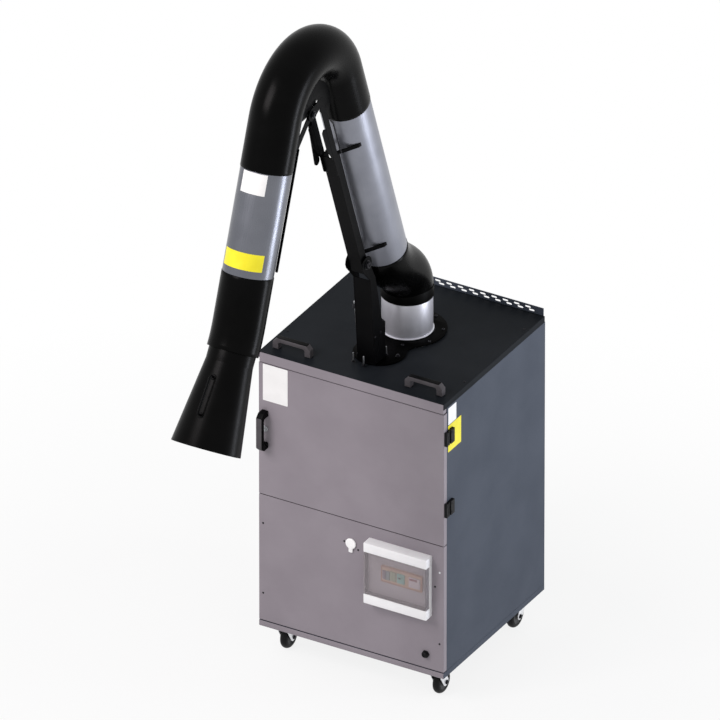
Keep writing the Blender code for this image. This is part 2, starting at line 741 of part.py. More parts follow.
def door(frame):
    """The door with its handle, seal and lock. Its frame stands on the hinge axis."""
    axis = axis_empty("door_axis", (HINGE_X, HINGE_Y, DOOR_BOTTOM_Z), frame)
    right = SIDE_X - HINGE_X
    left = -SIDE_X - HINGE_X
    face = FRONT_Y - HINGE_Y
    back = face + COVER_DEPTH
    panel = tray("door", (left, face, 0), (right, back, DOOR_HEIGHT), [(0, 1, 0)], GREY_PAINT, axis)
    inset = SHEET + TOUCH_GAP
    outer = rectangle(left + inset, inset, right - inset, DOOR_HEIGHT - inset)
    reach = inset + SEAL_WIDTH
    inner = rectangle(left + reach, reach, right - reach, DOOR_HEIGHT - reach)
    depth = COVER_DEPTH - inset
    plate("door_seal", [outer, inner], depth, SEAL_FOAM, axis, PLANE_XZ,
          (0, face + inset + depth / 2, 0))
    stand = Matrix(((0, 1, 0, 0), (0, 0, -1, 0), (-1, 0, 0, 0), (0, 0, 0, 1)))
    spot = Matrix.Translation((left + DOOR_HANDLE_INSET, face - TOUCH_GAP, DOOR_HANDLE_RISE))
    bridge_handle("door_handle", spot @ stand, axis)
    lock_axis = axis_empty("lock_axis", (left + LOCK_INSET, 0, DOOR_HANDLE_RISE), axis)
    cam_front = back + PANEL_SEAM + SHEET + CAM_CLEARANCE
    lock = rod("door_lock", LOCK_RADIUS, (0, face - LOCK_HEAD - TOUCH_GAP, 0),
               (0, cam_front + CAM_THICKNESS, 0), STEEL, lock_axis)
    head = rod("lock_head", LOCK_HEAD_RADIUS, (0, face - LOCK_HEAD - TOUCH_GAP, 0),
               (0, face - TOUCH_GAP, 0), None, lock_axis)
    cam = box("lock_cam", (-CAM_WIDTH / 2, cam_front, 0),
              (CAM_WIDTH / 2, cam_front + CAM_THICKNESS, CAM_LENGTH), None, lock_axis)
    join(lock, head, cam)
    hole = rod("lock_hole", LOCK_RADIUS + TOUCH_GAP, (0, face - CUT_OVERRUN, 0),
               (0, face + CUT_OVERRUN, 0), None, lock_axis)
    cut(panel, hole)
    return axis


def filters(frame):
    """The filter cell on the shelf with the spark arrestor on top of it."""
    half_x = INNER_X - FILTER_INSET
    front, rear = SHELL_FRONT_Y + FILTER_INSET, SHELL_REAR_Y - FILTER_INSET
    bottom = SHELF_Z + TOUCH_GAP
    top = bottom + FILTER_HEIGHT
    cell = box("main_filter", (-half_x, front, bottom), (half_x, rear, top), FILTER_MEDIA, frame)
    soften(cell, FILTER_BEVEL)
    holes = []
    width = (2 * half_x - 2 * ARRESTOR_RIM + ARRESTOR_BAR) / ARRESTOR_COLUMNS
    depth = (rear - front - 2 * ARRESTOR_RIM + ARRESTOR_BAR) / ARRESTOR_ROWS
    for column in range(ARRESTOR_COLUMNS):
        for row in range(ARRESTOR_ROWS):
            left = -half_x + ARRESTOR_RIM + column * width
            near = front + ARRESTOR_RIM + row * depth
            holes.append(rectangle(left, near, left + width - ARRESTOR_BAR, near + depth - ARRESTOR_BAR))
    edge = rectangle(-half_x, front, half_x, rear)
    plate("spark_arrestor", [edge] + holes, ARRESTOR_HEIGHT, ZINC, frame, PLANE_XY,
          (0, 0, top + TOUCH_GAP + ARRESTOR_HEIGHT / 2))


def scroll_outline(shrink):
    """The fan's spiral with its outlet duct towards the rear, drawn in by shrink."""
    angles = np.linspace(0, 2 * math.pi, 4 * ARC_STEPS + 1)
    radii = FAN_RADIUS + FAN_GROWTH * (1 - angles / (2 * math.pi)) - shrink
    spiral = [(r * math.cos(a), -r * math.sin(a)) for r, a in zip(radii, angles)]
    outer = FAN_RADIUS + FAN_GROWTH - shrink
    inner = FAN_RADIUS + FAN_GROWTH - OUTLET_WIDTH + shrink
    mouth = SHELL_REAR_Y - TOUCH_GAP + (CUT_OVERRUN if shrink else 0)
    tongue = math.sqrt(max((FAN_RADIUS - shrink) ** 2 - inner ** 2, 0))
    start = [point for point in spiral if not (point[1] > 0 and point[0] > inner)]
    return [(outer, mouth), (outer, 0)] + start[1:] + [(inner, tongue), (inner, mouth)]


def fan(frame):
    """Scroll housing under the shelf, motor under the housing, impeller on its shaft."""
    top = SHELF_Z - SHEET - TOUCH_GAP
    bottom = top - FAN_HEIGHT
    housing = plate("fan_housing", [scroll_outline(0)], FAN_HEIGHT, ZINC, frame, PLANE_XY,
                    (0, 0, (top + bottom) / 2))
    hollow = plate("fan_hollow", [scroll_outline(FAN_WALL)], FAN_HEIGHT - 2 * FAN_WALL, None, frame,
                   PLANE_XY, (0, 0, (top + bottom) / 2))
    inlet = rod("fan_inlet", INLET_RADIUS, (0, 0, top - CUT_OVERRUN), (0, 0, top + CUT_OVERRUN),
                None, frame, ROUND_SIDES)
    shaft_hole = rod("shaft_hole", HUB_RADIUS, (0, 0, bottom - CUT_OVERRUN),
                     (0, 0, bottom + CUT_OVERRUN), None, frame)
    cut(housing, hollow, inlet, shaft_hole)
    flange_top = bottom - TOUCH_GAP
    bore = SHAFT_RADIUS + TOUCH_GAP
    low = flange_top - MOTOR_LENGTH
    floor = flange_top - SHAFT_DEPTH - CUT_OVERRUN
    turned("fan_motor", [
        (bore, flange_top), (MOTOR_FLANGE_RADIUS, flange_top),
        (MOTOR_FLANGE_RADIUS, flange_top - MOTOR_FLANGE), (MOTOR_RADIUS, flange_top - MOTOR_FLANGE),
        (MOTOR_RADIUS, low), (0, low), (0, floor), (bore, floor),
    ], STEEL, frame)
    axis = axis_empty("fan_axis", (0, 0, bottom + FAN_WALL + IMPELLER_LIFT), frame)
    hub_height = IMPELLER_HEIGHT / 2
    wheel = turned("impeller", [
        (0, hub_height), (HUB_RADIUS, hub_height), (HUB_RADIUS, IMPELLER_DISC),
        (IMPELLER_RADIUS, IMPELLER_DISC), (IMPELLER_RADIUS, 0), (SHAFT_RADIUS, 0),
        (SHAFT_RADIUS, -IMPELLER_LIFT - FAN_WALL - SHAFT_DEPTH),
        (0, -IMPELLER_LIFT - FAN_WALL - SHAFT_DEPTH),
    ], ZINC, axis)
    for number in range(BLADE_COUNT):
        blade = box(f"blade_{number}", (BLADE_INNER_RADIUS, -BLADE_THICKNESS / 2, IMPELLER_DISC / 2),
                    (IMPELLER_RADIUS - BLADE_THICKNESS, BLADE_THICKNESS / 2, IMPELLER_HEIGHT), None, axis)
        blade.data.transform(Matrix.Rotation(2 * math.pi * number / BLADE_COUNT, 4, "Z"))
        join(wheel, blade)


def control_box(frame):
    """The white box, its clear flap, the module row and the toggle behind it."""
    right = BOX_LEFT + BOX_WIDTH
    top = BOX_BOTTOM + BOX_HEIGHT
    back = FRONT_Y - TOUCH_GAP
    face = back - BOX_DEPTH
    base_face = back - BOX_BACK
    body = box("control_box", (BOX_LEFT, base_face, BOX_BOTTOM), (right, back, top), WHITE_PLASTIC, frame)
    for name, low in (("lower", BOX_BOTTOM), ("upper", top - BOX_BAND)):
        join(body, box("box_band_" + name, (BOX_LEFT, face, low), (right, base_face + BOX_BACK / 2, low + BOX_BAND),
                       None, frame))
    low = BOX_BOTTOM + BOX_BAND + FLAP_GAP
    high = top - BOX_BAND - FLAP_GAP
    flap_axis = axis_empty("flap_axis", (BOX_LEFT, base_face - TOUCH_GAP, BOX_BOTTOM + BOX_HEIGHT / 2), frame)
    middle = BOX_BOTTOM + BOX_HEIGHT / 2
    tray("control_box_window", (0, face - base_face + TOUCH_GAP, low - middle), (BOX_WIDTH, 0, high - middle),
         [(0, 1, 0)], CLEAR_PLASTIC, flap_axis, FLAP_WALL)
    centre_x = BOX_LEFT + BOX_WIDTH / 2 + MODULE_SHIFT
    row_z = middle + MODULE_RISE
    half_width, half_height = MODULE_WIDTH / 2, MODULE_HEIGHT / 2
    module_back = base_face - TOUCH_GAP
    module_face = module_back - MODULE_DEPTH
    modules = box("control_modules", (centre_x - half_width, module_face, row_z - half_height),
                  (centre_x + half_width, module_back, row_z + half_height), MODULE_PLASTIC, frame)
    row = box("module_row", (centre_x - half_width + MODULE_FRAME, module_face - MODULE_FACE,
                             row_z - half_height + MODULE_FRAME),
              (centre_x + half_width - MODULE_FRAME, module_face + MODULE_FACE,
               row_z + half_height - MODULE_FRAME), None, frame)
    toggle_x = centre_x - half_width + MODULE_WIDTH * TOGGLE_PLACE_SHARE
    gap = TOGGLE_WIDTH / 2 + RUNNING_GAP
    notch = box("toggle_notch", (toggle_x - gap, module_face - MODULE_FACE - CUT_OVERRUN, row_z - TOGGLE_SLOT),
                (toggle_x + gap, module_face - MODULE_FACE + TOGGLE_SLOT, row_z + TOGGLE_SLOT), None, frame)
    join(modules, row)
    cut(modules, notch)
    toggle_y = module_face - MODULE_FACE + TOGGLE_SLOT - TOGGLE_RADIUS - TOUCH_GAP
    toggle_axis = axis_empty("toggle_axis", (toggle_x, toggle_y, row_z), frame, -TOGGLE_REST)
    half = TOGGLE_WIDTH / 2
    toggle = rod("breaker_toggle", TOGGLE_RADIUS, (-half, 0, 0), (half, 0, 0), HANDLE_PLASTIC, toggle_axis)
    lever = box("toggle_lever", (-half / 2, -TOGGLE_LENGTH, -TOGGLE_RADIUS / 2),
                (half / 2, 0, TOGGLE_RADIUS / 2), None, toggle_axis)
    join(toggle, lever)


def lamp_and_gland(frame):
    """The bulb-shaped lamp lens and the cable gland."""
    start = math.asin(LAMP_NECK / 2 / LAMP_RADIUS)
    round_part = arc((0, LAMP_HEIGHT), LAMP_RADIUS, start - math.pi / 2, 3 * math.pi / 2 - start, 3 * ARC_STEPS)
    neck_low = LAMP_HEIGHT - LAMP_NECK_DROP
    outline = round_part + [(-LAMP_NECK / 2, neck_low), (LAMP_NECK / 2, neck_low)]
    plate("indicator_lamp", [outline], LAMP_DEPTH, WHITE_PLASTIC, frame, PLANE_XZ,
          (BOX_LEFT - LAMP_LEFT_OF_BOX, FRONT_Y - TOUCH_GAP - LAMP_DEPTH / 2, 0))
    at = Matrix.Translation((GLAND_X, FRONT_Y - TOUCH_GAP, GLAND_Z)) @ Matrix.Rotation(math.radians(90), 4, "X")
    gland = baked(turned("cable_gland", [
        (GLAND_BORE, GLAND_LENGTH), (GLAND_RADIUS, GLAND_LENGTH), (GLAND_RADIUS, GLAND_NUT),
        (GLAND_NUT_RADIUS, GLAND_NUT), (GLAND_NUT_RADIUS, 0), (GLAND_RADIUS, 0),
        (GLAND_RADIUS, -GLAND_NUT), (GLAND_BORE, -GLAND_NUT),
    ], HANDLE_PLASTIC, frame, SMALL_SIDES))
    gland.data.transform(at)


def caster(name, side_x, side_y, frame):
    """Top plate, swivelling fork with its axle, and wheel. The wheel trails towards the middle."""
    x = side_x * (SIDE_X - CASTER_INSET_X)
    y = side_y * (REAR_Y - CASTER_INSET_Y)
    race_bottom = BASE_Z - FORK_CROWN_DROP
    plate_top = BASE_Z - TOUCH_GAP
    top = box("caster_plate_" + name,
              (x - CASTER_PLATE_WIDTH / 2, y - CASTER_PLATE_LENGTH / 2, plate_top - CASTER_PLATE),
              (x + CASTER_PLATE_WIDTH / 2, y + CASTER_PLATE_LENGTH / 2, plate_top), ZINC, frame)
    race_seat = rod("race_" + name, CASTER_RACE_RADIUS, (x, y, race_bottom + FORK_SHEET),
                    (x, y, plate_top - CASTER_PLATE / 2), None, frame)
    join(top, race_seat)
    swivel = axis_empty("swivel_axis_" + name, (x, y, 0), frame)
    trail = -side_y * CASTER_TRAIL
    leg_inner = HUB_WIDTH / 2 + FORK_GAP
    leg_outer = leg_inner + FORK_SHEET
    crown_top = race_bottom + FORK_SHEET - TOUCH_GAP
    crown_low = crown_top - FORK_SHEET
    half = FORK_LEG_WIDTH / 2
    fork = box("caster_fork_" + name, (-leg_outer, -half, crown_low), (leg_outer, half, crown_top), ZINC, swivel)
    disc = rod("fork_disc_" + name, CASTER_RACE_RADIUS, (0, 0, crown_low - FORK_SHEET / 2),
               (0, 0, crown_top - FORK_SHEET / 2), None, swivel)
    join(fork, disc)
    leg_top = crown_top - FORK_SHEET / 4
    foot = arc((trail, WHEEL_RADIUS), FORK_FOOT_RADIUS, 0, -math.pi)
    ledge = half - FORK_SHEET / 4
    leg = [(ledge, leg_top), (ledge, crown_low)] + foot + [(-ledge, crown_low), (-ledge, leg_top)]
    for tag, side in (("left", -1), ("right", 1)):
        join(fork, plate(f"fork_leg_{name}_{tag}", [leg], FORK_SHEET, None, swivel, PLANE_YZ,
                         (side * (leg_inner + leg_outer) / 2, 0, 0)))
    reach = leg_outer + AXLE_HEAD
    axle = rod("axle_" + name, AXLE_RADIUS, (-reach, trail, WHEEL_RADIUS), (reach, trail, WHEEL_RADIUS),
               None, swivel)
    join(fork, axle)
    for tag, side in (("left", -1), ("right", 1)):
        join(fork, rod(f"axle_head_{name}_{tag}", AXLE_HEAD_RADIUS,
                       (side * leg_inner + side * FORK_SHEET / 2, trail, WHEEL_RADIUS),
                       (side * reach, trail, WHEEL_RADIUS), None, swivel))
    spin = axis_empty("wheel_axis_" + name, (0, trail, WHEEL_RADIUS), swivel)
    shoulder = WHEEL_WIDTH / 2 - WHEEL_CROWN
    rim = WHEEL_RADIUS - WHEEL_CROWN
    wheel = baked(turned("caster_wheel_" + name, [
        (WHEEL_BORE, HUB_WIDTH / 2), (HUB_FACE_RADIUS, HUB_WIDTH / 2), (HUB_FACE_RADIUS, WHEEL_WIDTH / 2),
        (rim, WHEEL_WIDTH / 2), (WHEEL_RADIUS, shoulder), (WHEEL_RADIUS, -shoulder),
        (rim, -WHEEL_WIDTH / 2), (HUB_FACE_RADIUS, -WHEEL_WIDTH / 2), (HUB_FACE_RADIUS, -HUB_WIDTH / 2),
        (WHEEL_BORE, -HUB_WIDTH / 2),
    ], TYRE_RUBBER, spin, WHEEL_SIDES))
    half_facet = Matrix.Rotation(math.pi / WHEEL_SIDES, 4, "Z")
    wheel.data.transform(Matrix.Rotation(math.radians(90), 4, "Y") @ half_facet)


def casters(frame):
    for name, side_x, side_y in (
        ("front_left", -1, -1), ("front_right", 1, -1), ("rear_left", -1, 1), ("rear_right", 1, 1)
    ):
        caster(name, side_x, side_y, frame)


def lobe_outline():
    """The swivel plate: a disc and a smaller lobe in front of it, with filleted waists.

    Each fillet circle touches both discs from outside, so its centre lies where two circles cross.
    """
    big, small = PLATE_RADIUS + WAIST_FILLET, LOBE_RADIUS + WAIST_FILLET
    along = (LOBE_FORWARD ** 2 + big ** 2 - small ** 2) / (2 * LOBE_FORWARD)
    aside = math.sqrt(big ** 2 - along ** 2)
    from_big = math.atan2(aside, along)
    from_small = math.atan2(aside, along - LOBE_FORWARD)
    lobe = (LOBE_FORWARD, 0)
    points = arc((0, 0), PLATE_RADIUS, from_big, 2 * math.pi - from_big, 3 * ARC_STEPS)
    points += arc((along, -aside), WAIST_FILLET, math.pi - from_big, math.pi - from_small)[1:-1]
    points += arc(lobe, LOBE_RADIUS, -from_small, from_small, 2 * ARC_STEPS)
    points += arc((along, aside), WAIST_FILLET, math.pi + from_small, math.pi + from_big)[1:-1]
    return [(-across, -forward) for forward, across in points]


def arm_foot(swivel):
    """Turning plate with its bolts, duct collar, shoulder bracket, pin and stays."""
    inner = DUCT_RADIUS - DUCT_WALL
    base = plate("swivel_plate", [lobe_outline(), circle((0, 0), inner, DUCT_SIDES)], PLATE_SHEET,
                 BLACK_PAINT, swivel, PLANE_XY, (0, 0, PLATE_BOTTOM + PLATE_SHEET / 2))
    for number in range(BOLT_COUNT):
        angle = 2 * math.pi * (number + 0.5) / BOLT_COUNT
        spot = (BOLT_CIRCLE * math.cos(angle), BOLT_CIRCLE * math.sin(angle))
        join(base, rod(f"plate_bolt_{number}", BOLT_RADIUS, (*spot, PLATE_BOTTOM + PLATE_SHEET / 2),
                       (*spot, PLATE_TOP + BOLT_HEIGHT / 2), None, swivel, SMALL_SIDES // 2))
    for number, side in enumerate((-1, 1)):
        spot = (side * LOBE_BOLT_CIRCLE, -LOBE_FORWARD)
        join(base, rod(f"lobe_bolt_{number}", BOLT_RADIUS, (*spot, PLATE_BOTTOM + PLATE_SHEET / 2),
                       (*spot, PLATE_TOP + BOLT_HEIGHT), None, swivel, SMALL_SIDES // 2))
    collar_low = PLATE_TOP + TOUCH_GAP
    turned("collar", [
        (inner, COLLAR_HEIGHT), (DUCT_RADIUS, COLLAR_HEIGHT), (DUCT_RADIUS, collar_low), (inner, collar_low),
    ], DUCT_METAL, swivel, DUCT_SIDES)
    shoulder_bracket(swivel, collar_low)
    stays(swivel, collar_low)


def shoulder_bracket(swivel, low):
    """Two cheeks with a wide foot, a slim neck and a round top, tied by a foot plate and a front web."""
    pivot = (-SHOULDER_FORWARD, SHOULDER_HEIGHT)
    top = arc(pivot, CHEEK_TOP_RADIUS, math.pi + CHEEK_TOP_END, -CHEEK_TOP_END, ARC_STEPS)
    cheek = [(-CHEEK_FOOT_REAR, low), (-CHEEK_FOOT_FRONT, low), (-CHEEK_NECK_FRONT, CHEEK_NECK_HEIGHT)] + top
    cheek += [(-CHEEK_NECK_REAR, CHEEK_NECK_HEIGHT), (-CHEEK_WAIST_REAR, CHEEK_WAIST_HEIGHT),
              (-CHEEK_FOOT_REAR, CHEEK_FOOT_HEIGHT)]
    half = CHEEK_SPACING / 2
    bracket = box("shoulder_bracket", (-half - CHEEK_SHEET, -CHEEK_FOOT_FRONT, low),
                  (half + CHEEK_SHEET, -CHEEK_FOOT_REAR, low + CHEEK_SHEET), BLACK_PAINT, swivel)
    hole = circle(pivot, SHOULDER_PIN_RADIUS + TOUCH_GAP, SMALL_SIDES)
    for tag, side in (("left", -1), ("right", 1)):
        join(bracket, plate("cheek_" + tag, [cheek, hole], CHEEK_SHEET, None, swivel, PLANE_YZ,
                            (side * (half + CHEEK_SHEET / 2), 0, 0)))
    front_low, front_high = -CHEEK_FOOT_FRONT + CHEEK_WEB_INSET, -CHEEK_NECK_FRONT + CHEEK_WEB_INSET
    web_low, web_high = low + CHEEK_WEB_INSET, CHEEK_NECK_HEIGHT - CHEEK_WEB_INSET
    web = plate("cheek_web", [[
        (front_low, web_low), (front_high, web_high),
        (front_high + CHEEK_SHEET, web_high), (front_low + CHEEK_SHEET, web_low),
    ]], CHEEK_SPACING + CHEEK_SHEET, None, swivel, PLANE_YZ)
    join(bracket, web)
    reach = half + CHEEK_SHEET + TOUCH_GAP
    pin = rod("shoulder_pin", SHOULDER_PIN_RADIUS, (-reach - PIN_HEAD, -SHOULDER_FORWARD, SHOULDER_HEIGHT),
              (reach + PIN_HEAD, -SHOULDER_FORWARD, SHOULDER_HEIGHT), STEEL, swivel)
    for tag, side in (("left", -1), ("right", 1)):
        join(pin, rod("pin_head_" + tag, PIN_HEAD_RADIUS, (side * reach, -SHOULDER_FORWARD, SHOULDER_HEIGHT),
                      (side * (reach + PIN_HEAD), -SHOULDER_FORWARD, SHOULDER_HEIGHT), None, swivel))


def stays(swivel, low):
    """A pair of slim rods beside the left cheek, held by a block at each end."""
    outer = -CHEEK_SPACING / 2 - CHEEK_SHEET - TOUCH_GAP
    x = outer - STAY_OFFSET
    foot = Vector((x, -STAY_FOOT_FORWARD, low + STAY_BLOCK))
    top = Vector((x, -STAY_TOP_FORWARD, STAY_TOP_HEIGHT))
    stay = box("bracket_stay", (x - STAY_BLOCK / 2, foot.y - STAY_BLOCK, low),
               (outer, foot.y + STAY_BLOCK, foot.z), STEEL, swivel)
    head = box("stay_head", (x - STAY_BLOCK / 2, top.y - STAY_BLOCK, top.z - STAY_BLOCK),
               (outer, top.y + STAY_BLOCK, top.z), None, swivel)
    join(stay, head)
    for number, side in enumerate((-1, 1)):
        shift = Vector((0, side * STAY_SPACING / 2, 0))
        inset = Vector((0, 0, STAY_BLOCK / 2))
        join(stay, rod(f"stay_rod_{number}", STAY_RADIUS, foot + shift - inset, top + shift - inset, None, swivel))


def ring_under_plate(frame):
    inner = DUCT_RADIUS - DUCT_WALL
    turned("swivel_ring", [
        (inner, RING_HEIGHT), (RING_OUTER_RADIUS, RING_HEIGHT), (RING_OUTER_RADIUS, TOUCH_GAP), (inner, TOUCH_GAP),
    ], ZINC, frame, DUCT_SIDES)


def channel(name, width, low_z, high_z, middle_y, parent, open_side):
    """A folded channel along Z that is open towards open_side."""
    half_x, half_y = width / 2, CHANNEL_DEPTH / 2
    return tray(name, (-half_x, middle_y - half_y, low_z), (half_x, middle_y + half_y, high_z),
                [(0, open_side, 0), (0, 0, 1), (0, 0, -1)], BLACK_PAINT, parent, CHANNEL_SHEET)


def duct(name, low_z, high_z, middle_y, parent):
    """A straight rolled duct along Z."""
    inner = DUCT_RADIUS - DUCT_WALL
    obj = baked(turned(name, [(inner, high_z), (DUCT_RADIUS, high_z), (DUCT_RADIUS, low_z), (inner, low_z)],
                       DUCT_METAL, parent, DUCT_SIDES))
    obj.data.transform(Matrix.Translation((0, middle_y, 0)))
    return obj


def lower_arm(shoulder):
    """Channel with the elbow's cheeks and pin, duct, two clamps and the link beside the elbow."""
    top = DUCT_END_RISE - LOWER_CHANNEL_END_DROP
    arm = channel("lower_arm_channel", CHANNEL_WIDTH, -LOWER_CHANNEL_TAIL, top, 0, shoulder, 1)
    half = ELBOW_CHEEK_SPACING / 2
    start = (-ELBOW_CHEEK_FORWARD, top - ELBOW_CHEEK_OVERLAP)
    bend = (-ELBOW_CHEEK_FORWARD, ELBOW_Z)
    elbow = (ELBOW_Y, ELBOW_Z)
    bar_half = ELBOW_BAR_WIDTH / 2
    for tag, side in (("left", -1), ("right", 1)):
        middle = (side * (half - (ELBOW_CHEEK_SPACING - CHANNEL_WIDTH) / 4), 0, 0)
        sheet = (ELBOW_CHEEK_SPACING - CHANNEL_WIDTH) / 2 + TOUCH_GAP
        join(arm, plate("elbow_cheek_" + tag, [rounded_bar(start, bend, bar_half, bar_half)], sheet, None,
                        shoulder, PLANE_YZ, middle))
        join(arm, plate("elbow_bar_" + tag, [rounded_bar(bend, elbow, bar_half, ELBOW_CHEEK_RADIUS)], sheet,
                        None, shoulder, PLANE_YZ, middle))
    pin_reach = half + CHEEK_SHEET
    join(arm, rod("elbow_pin", ELBOW_PIN_RADIUS, (-pin_reach, *elbow), (pin_reach, *elbow), None, shoulder))
    shoulder_bore = rod("shoulder_bore", SHOULDER_PIN_RADIUS + TOUCH_GAP, (-CHANNEL_WIDTH, 0, 0),
                        (CHANNEL_WIDTH, 0, 0), None, shoulder)
    cut(arm, shoulder_bore)
    duct("lower_duct", -DUCT_START_DROP, DUCT_END_RISE, DUCT_BEHIND, shoulder)
    clamp("duct_clamp_lower", CLAMP_START_RISE - DUCT_START_DROP, shoulder)
    clamp("duct_clamp_upper", DUCT_END_RISE - CLAMP_END_DROP, shoulder)
    elbow_link(shoulder)


def clamp(name, height, shoulder):
    """A band round the duct's near side with a block into the open channel."""
    inner = DUCT_RADIUS + TOUCH_GAP
    outer = inner + CLAMP_BAND
    centre = (0, DUCT_BEHIND)
    start, end = -math.pi / 2 - CLAMP_SWEEP, -math.pi / 2 + CLAMP_SWEEP
    outline = arc(centre, outer, start, end, 2 * ARC_STEPS) + arc(centre, inner, end, start, 2 * ARC_STEPS)
    band = plate(name, [outline], CLAMP_WIDTH, BLACK_PAINT, shoulder, PLANE_XY, (0, 0, height))
    half = CLAMP_BLOCK / 2
    near = -CHANNEL_DEPTH / 2 + CHANNEL_SHEET + TOUCH_GAP
    join(band, box(name + "_block", (-half, near, height - CLAMP_WIDTH / 2),
                   (half, DUCT_BEHIND - inner - CLAMP_BAND / 2, height + CLAMP_WIDTH / 2), None, shoulder))


def elbow_link(shoulder):
    """A slim link beside the left cheek, with a wide eye at its foot, spaced off by two bosses."""
    x = -ELBOW_CHEEK_SPACING / 2 - CHEEK_SHEET - LINK_SHEET / 2
    foot = (-LINK_FOOT_FORWARD, ELBOW_Z - LINK_FOOT_DROP)
    head = (-LINK_TOP_FORWARD, ELBOW_Z - LINK_TOP_DROP)
    link = plate("elbow_link", [rounded_bar(foot, head, LINK_FOOT_RADIUS, LINK_WIDTH / 2)], LINK_SHEET,
                 BLACK_PAINT, shoulder, PLANE_YZ, (x, 0, 0))
    inner = -ELBOW_CHEEK_SPACING / 2 - TOUCH_GAP
    join(link, rod("link_boss", LINK_SPACER_RADIUS, (x, *head), (inner, *head), None, shoulder))
    return link


def upper_arm(elbow):
    """Channel on cheeks that turn on the elbow pin, the short duct, and the hood's straps."""
    high = -UPPER_CHANNEL_START
    low = high - UPPER_CHANNEL_LENGTH
    arm = channel("upper_arm_channel", UPPER_CHANNEL_WIDTH, low, high, UPPER_CHANNEL_Y, elbow, -1)
    sheet = CHEEK_SHEET
    half = UPPER_CHANNEL_WIDTH / 2
    bar_half = ELBOW_BAR_WIDTH / 2
    hole = circle((0, 0), ELBOW_PIN_RADIUS + TOUCH_GAP, SMALL_SIDES)
    for tag, side in (("left", -1), ("right", 1)):
        outline = rounded_bar((UPPER_CHANNEL_Y, high - bar_half), (0, 0), bar_half, bar_half)
        cheek = plate("forearm_cheek_" + tag, [outline, hole], sheet, None, elbow, PLANE_YZ,
                      (side * (half - sheet / 2), 0, 0))
        join(arm, cheek)
    saddle_half = CLAMP_BLOCK / 2
    seat = -BEND_RADIUS + DUCT_RADIUS + TOUCH_GAP
    for number, level in enumerate((UPPER_DUCT_START - CLAMP_BLOCK, UPPER_DUCT_END + CLAMP_BLOCK)):
        join(arm, box(f"saddle_{number}", (-saddle_half, seat, level - saddle_half),
                      (saddle_half, UPPER_CHANNEL_Y + CHANNEL_DEPTH / 2 - CHANNEL_SHEET / 2, level + saddle_half),
                      None, elbow))
    tube = duct("upper_duct", UPPER_DUCT_END, UPPER_DUCT_START, -BEND_RADIUS, elbow)
    pivot_z = UPPER_DUCT_END - HOOD_PIVOT_DROP
    inner = STRAP_SPACING / 2
    strap_half = STRAP_WIDTH / 2
    for tag, side in (("left", -1), ("right", 1)):
        end = (-BEND_RADIUS, pivot_z)
        start = (-BEND_RADIUS, UPPER_DUCT_END + STRAP_SEAT)
        bore = circle(end, PIVOT_PIN_RADIUS + TOUCH_GAP, SMALL_SIDES)
        join(tube, plate("hood_strap_" + tag, [rounded_bar(start, end, strap_half, strap_half), bore],
                         STRAP_SHEET, None, elbow, PLANE_YZ, (side * (inner + STRAP_SHEET / 2), 0, 0)))
        far = DUCT_RADIUS - DUCT_WALL / 2
        join(tube, box("strap_seat_" + tag,
                       (min(side * inner, side * far), start[0] - strap_half / 2, start[1] - strap_half),
                       (max(side * inner, side * far), start[0] + strap_half / 2, start[1] + strap_half),
                       None, elbow))


def hood_cone_radius(share):
    top = HOOD_SLEEVE_INNER + HOOD_SHEET
    return top + share * (HOOD_MOUTH_RADIUS - top)


def hood(tilt, turn):
    """Neck ring with the pivot bar, conical hood that turns on the ring, and its grip."""
    step = -HOSE_END_DROP
    neck = turned("hood_neck", [
        (NECK_INNER_RADIUS, NECK_TOP), (NECK_OUTER_RADIUS, NECK_TOP), (NECK_OUTER_RADIUS, step),
        (NECK_SLEEVE_RADIUS, step), (NECK_SLEEVE_RADIUS, -NECK_LENGTH), (NECK_INNER_RADIUS, -NECK_LENGTH),
    ], ZINC, tilt, DUCT_SIDES)
    ear = STRAP_SPACING / 2 - RUNNING_GAP
    half = PIVOT_BAR / 2
    join(neck, box("pivot_bar", (-ear, -half, -half), (ear, half, half), None, tilt))
    join(neck, box("pivot_post", (-half, -NECK_INNER_RADIUS - RUNNING_GAP, -PIVOT_BAR),
                   (half, NECK_INNER_RADIUS + RUNNING_GAP, -half + RUNNING_GAP), None, tilt))
    pin_reach = STRAP_SPACING / 2 + STRAP_SHEET
    join(neck, rod("pivot_pin", PIVOT_PIN_RADIUS, (-pin_reach, 0, 0), (pin_reach, 0, 0), None, tilt))
    sleeve_inner = HOOD_SLEEVE_INNER
    sleeve_outer = sleeve_inner + HOOD_SHEET
    top = step - TOUCH_GAP
    cone_top = top - HOOD_SLEEVE
    turned("hood", [
        (sleeve_inner, top), (sleeve_outer, top), (sleeve_outer, cone_top),
        (HOOD_MOUTH_RADIUS, -HOOD_DROP), (HOOD_MOUTH_RADIUS - HOOD_SHEET, -HOOD_DROP), (sleeve_inner, cone_top),
    ], BLACK_PAINT, turn, DUCT_SIDES)
    ends = []
    for share in HOOD_HANDLE_SHARES:
        z = cone_top + share * (-HOOD_DROP - cone_top)
        slope = (hood_cone_radius(1) - hood_cone_radius(0)) / (HOOD_DROP + cone_top)
        ends.append((-hood_cone_radius(share) - TOUCH_GAP - HOOD_HANDLE_RADIUS * slope, z))
    (near_y, near_z), (far_y, far_z) = ends
    points = [
        (0, near_y, near_z), (0, near_y - HOOD_HANDLE_REACH, near_z),
        (0, far_y - HOOD_HANDLE_REACH, far_z), (0, far_y, far_z),
    ]
    bar("hood_handle", points, HOOD_HANDLE_RADIUS, HANDLE_PLASTIC, turn)


def bezier(points, steps):
    """Points on the cubic or square curve that the control points give."""
    places = [Vector(point) for point in points]
    path = []
    for t in np.linspace(0, 1, steps + 1):
        level = places
        while len(level) > 1:
            level = [a.lerp(b, float(t)) for a, b in zip(level, level[1:])]
        path.append(level[0])
    return path


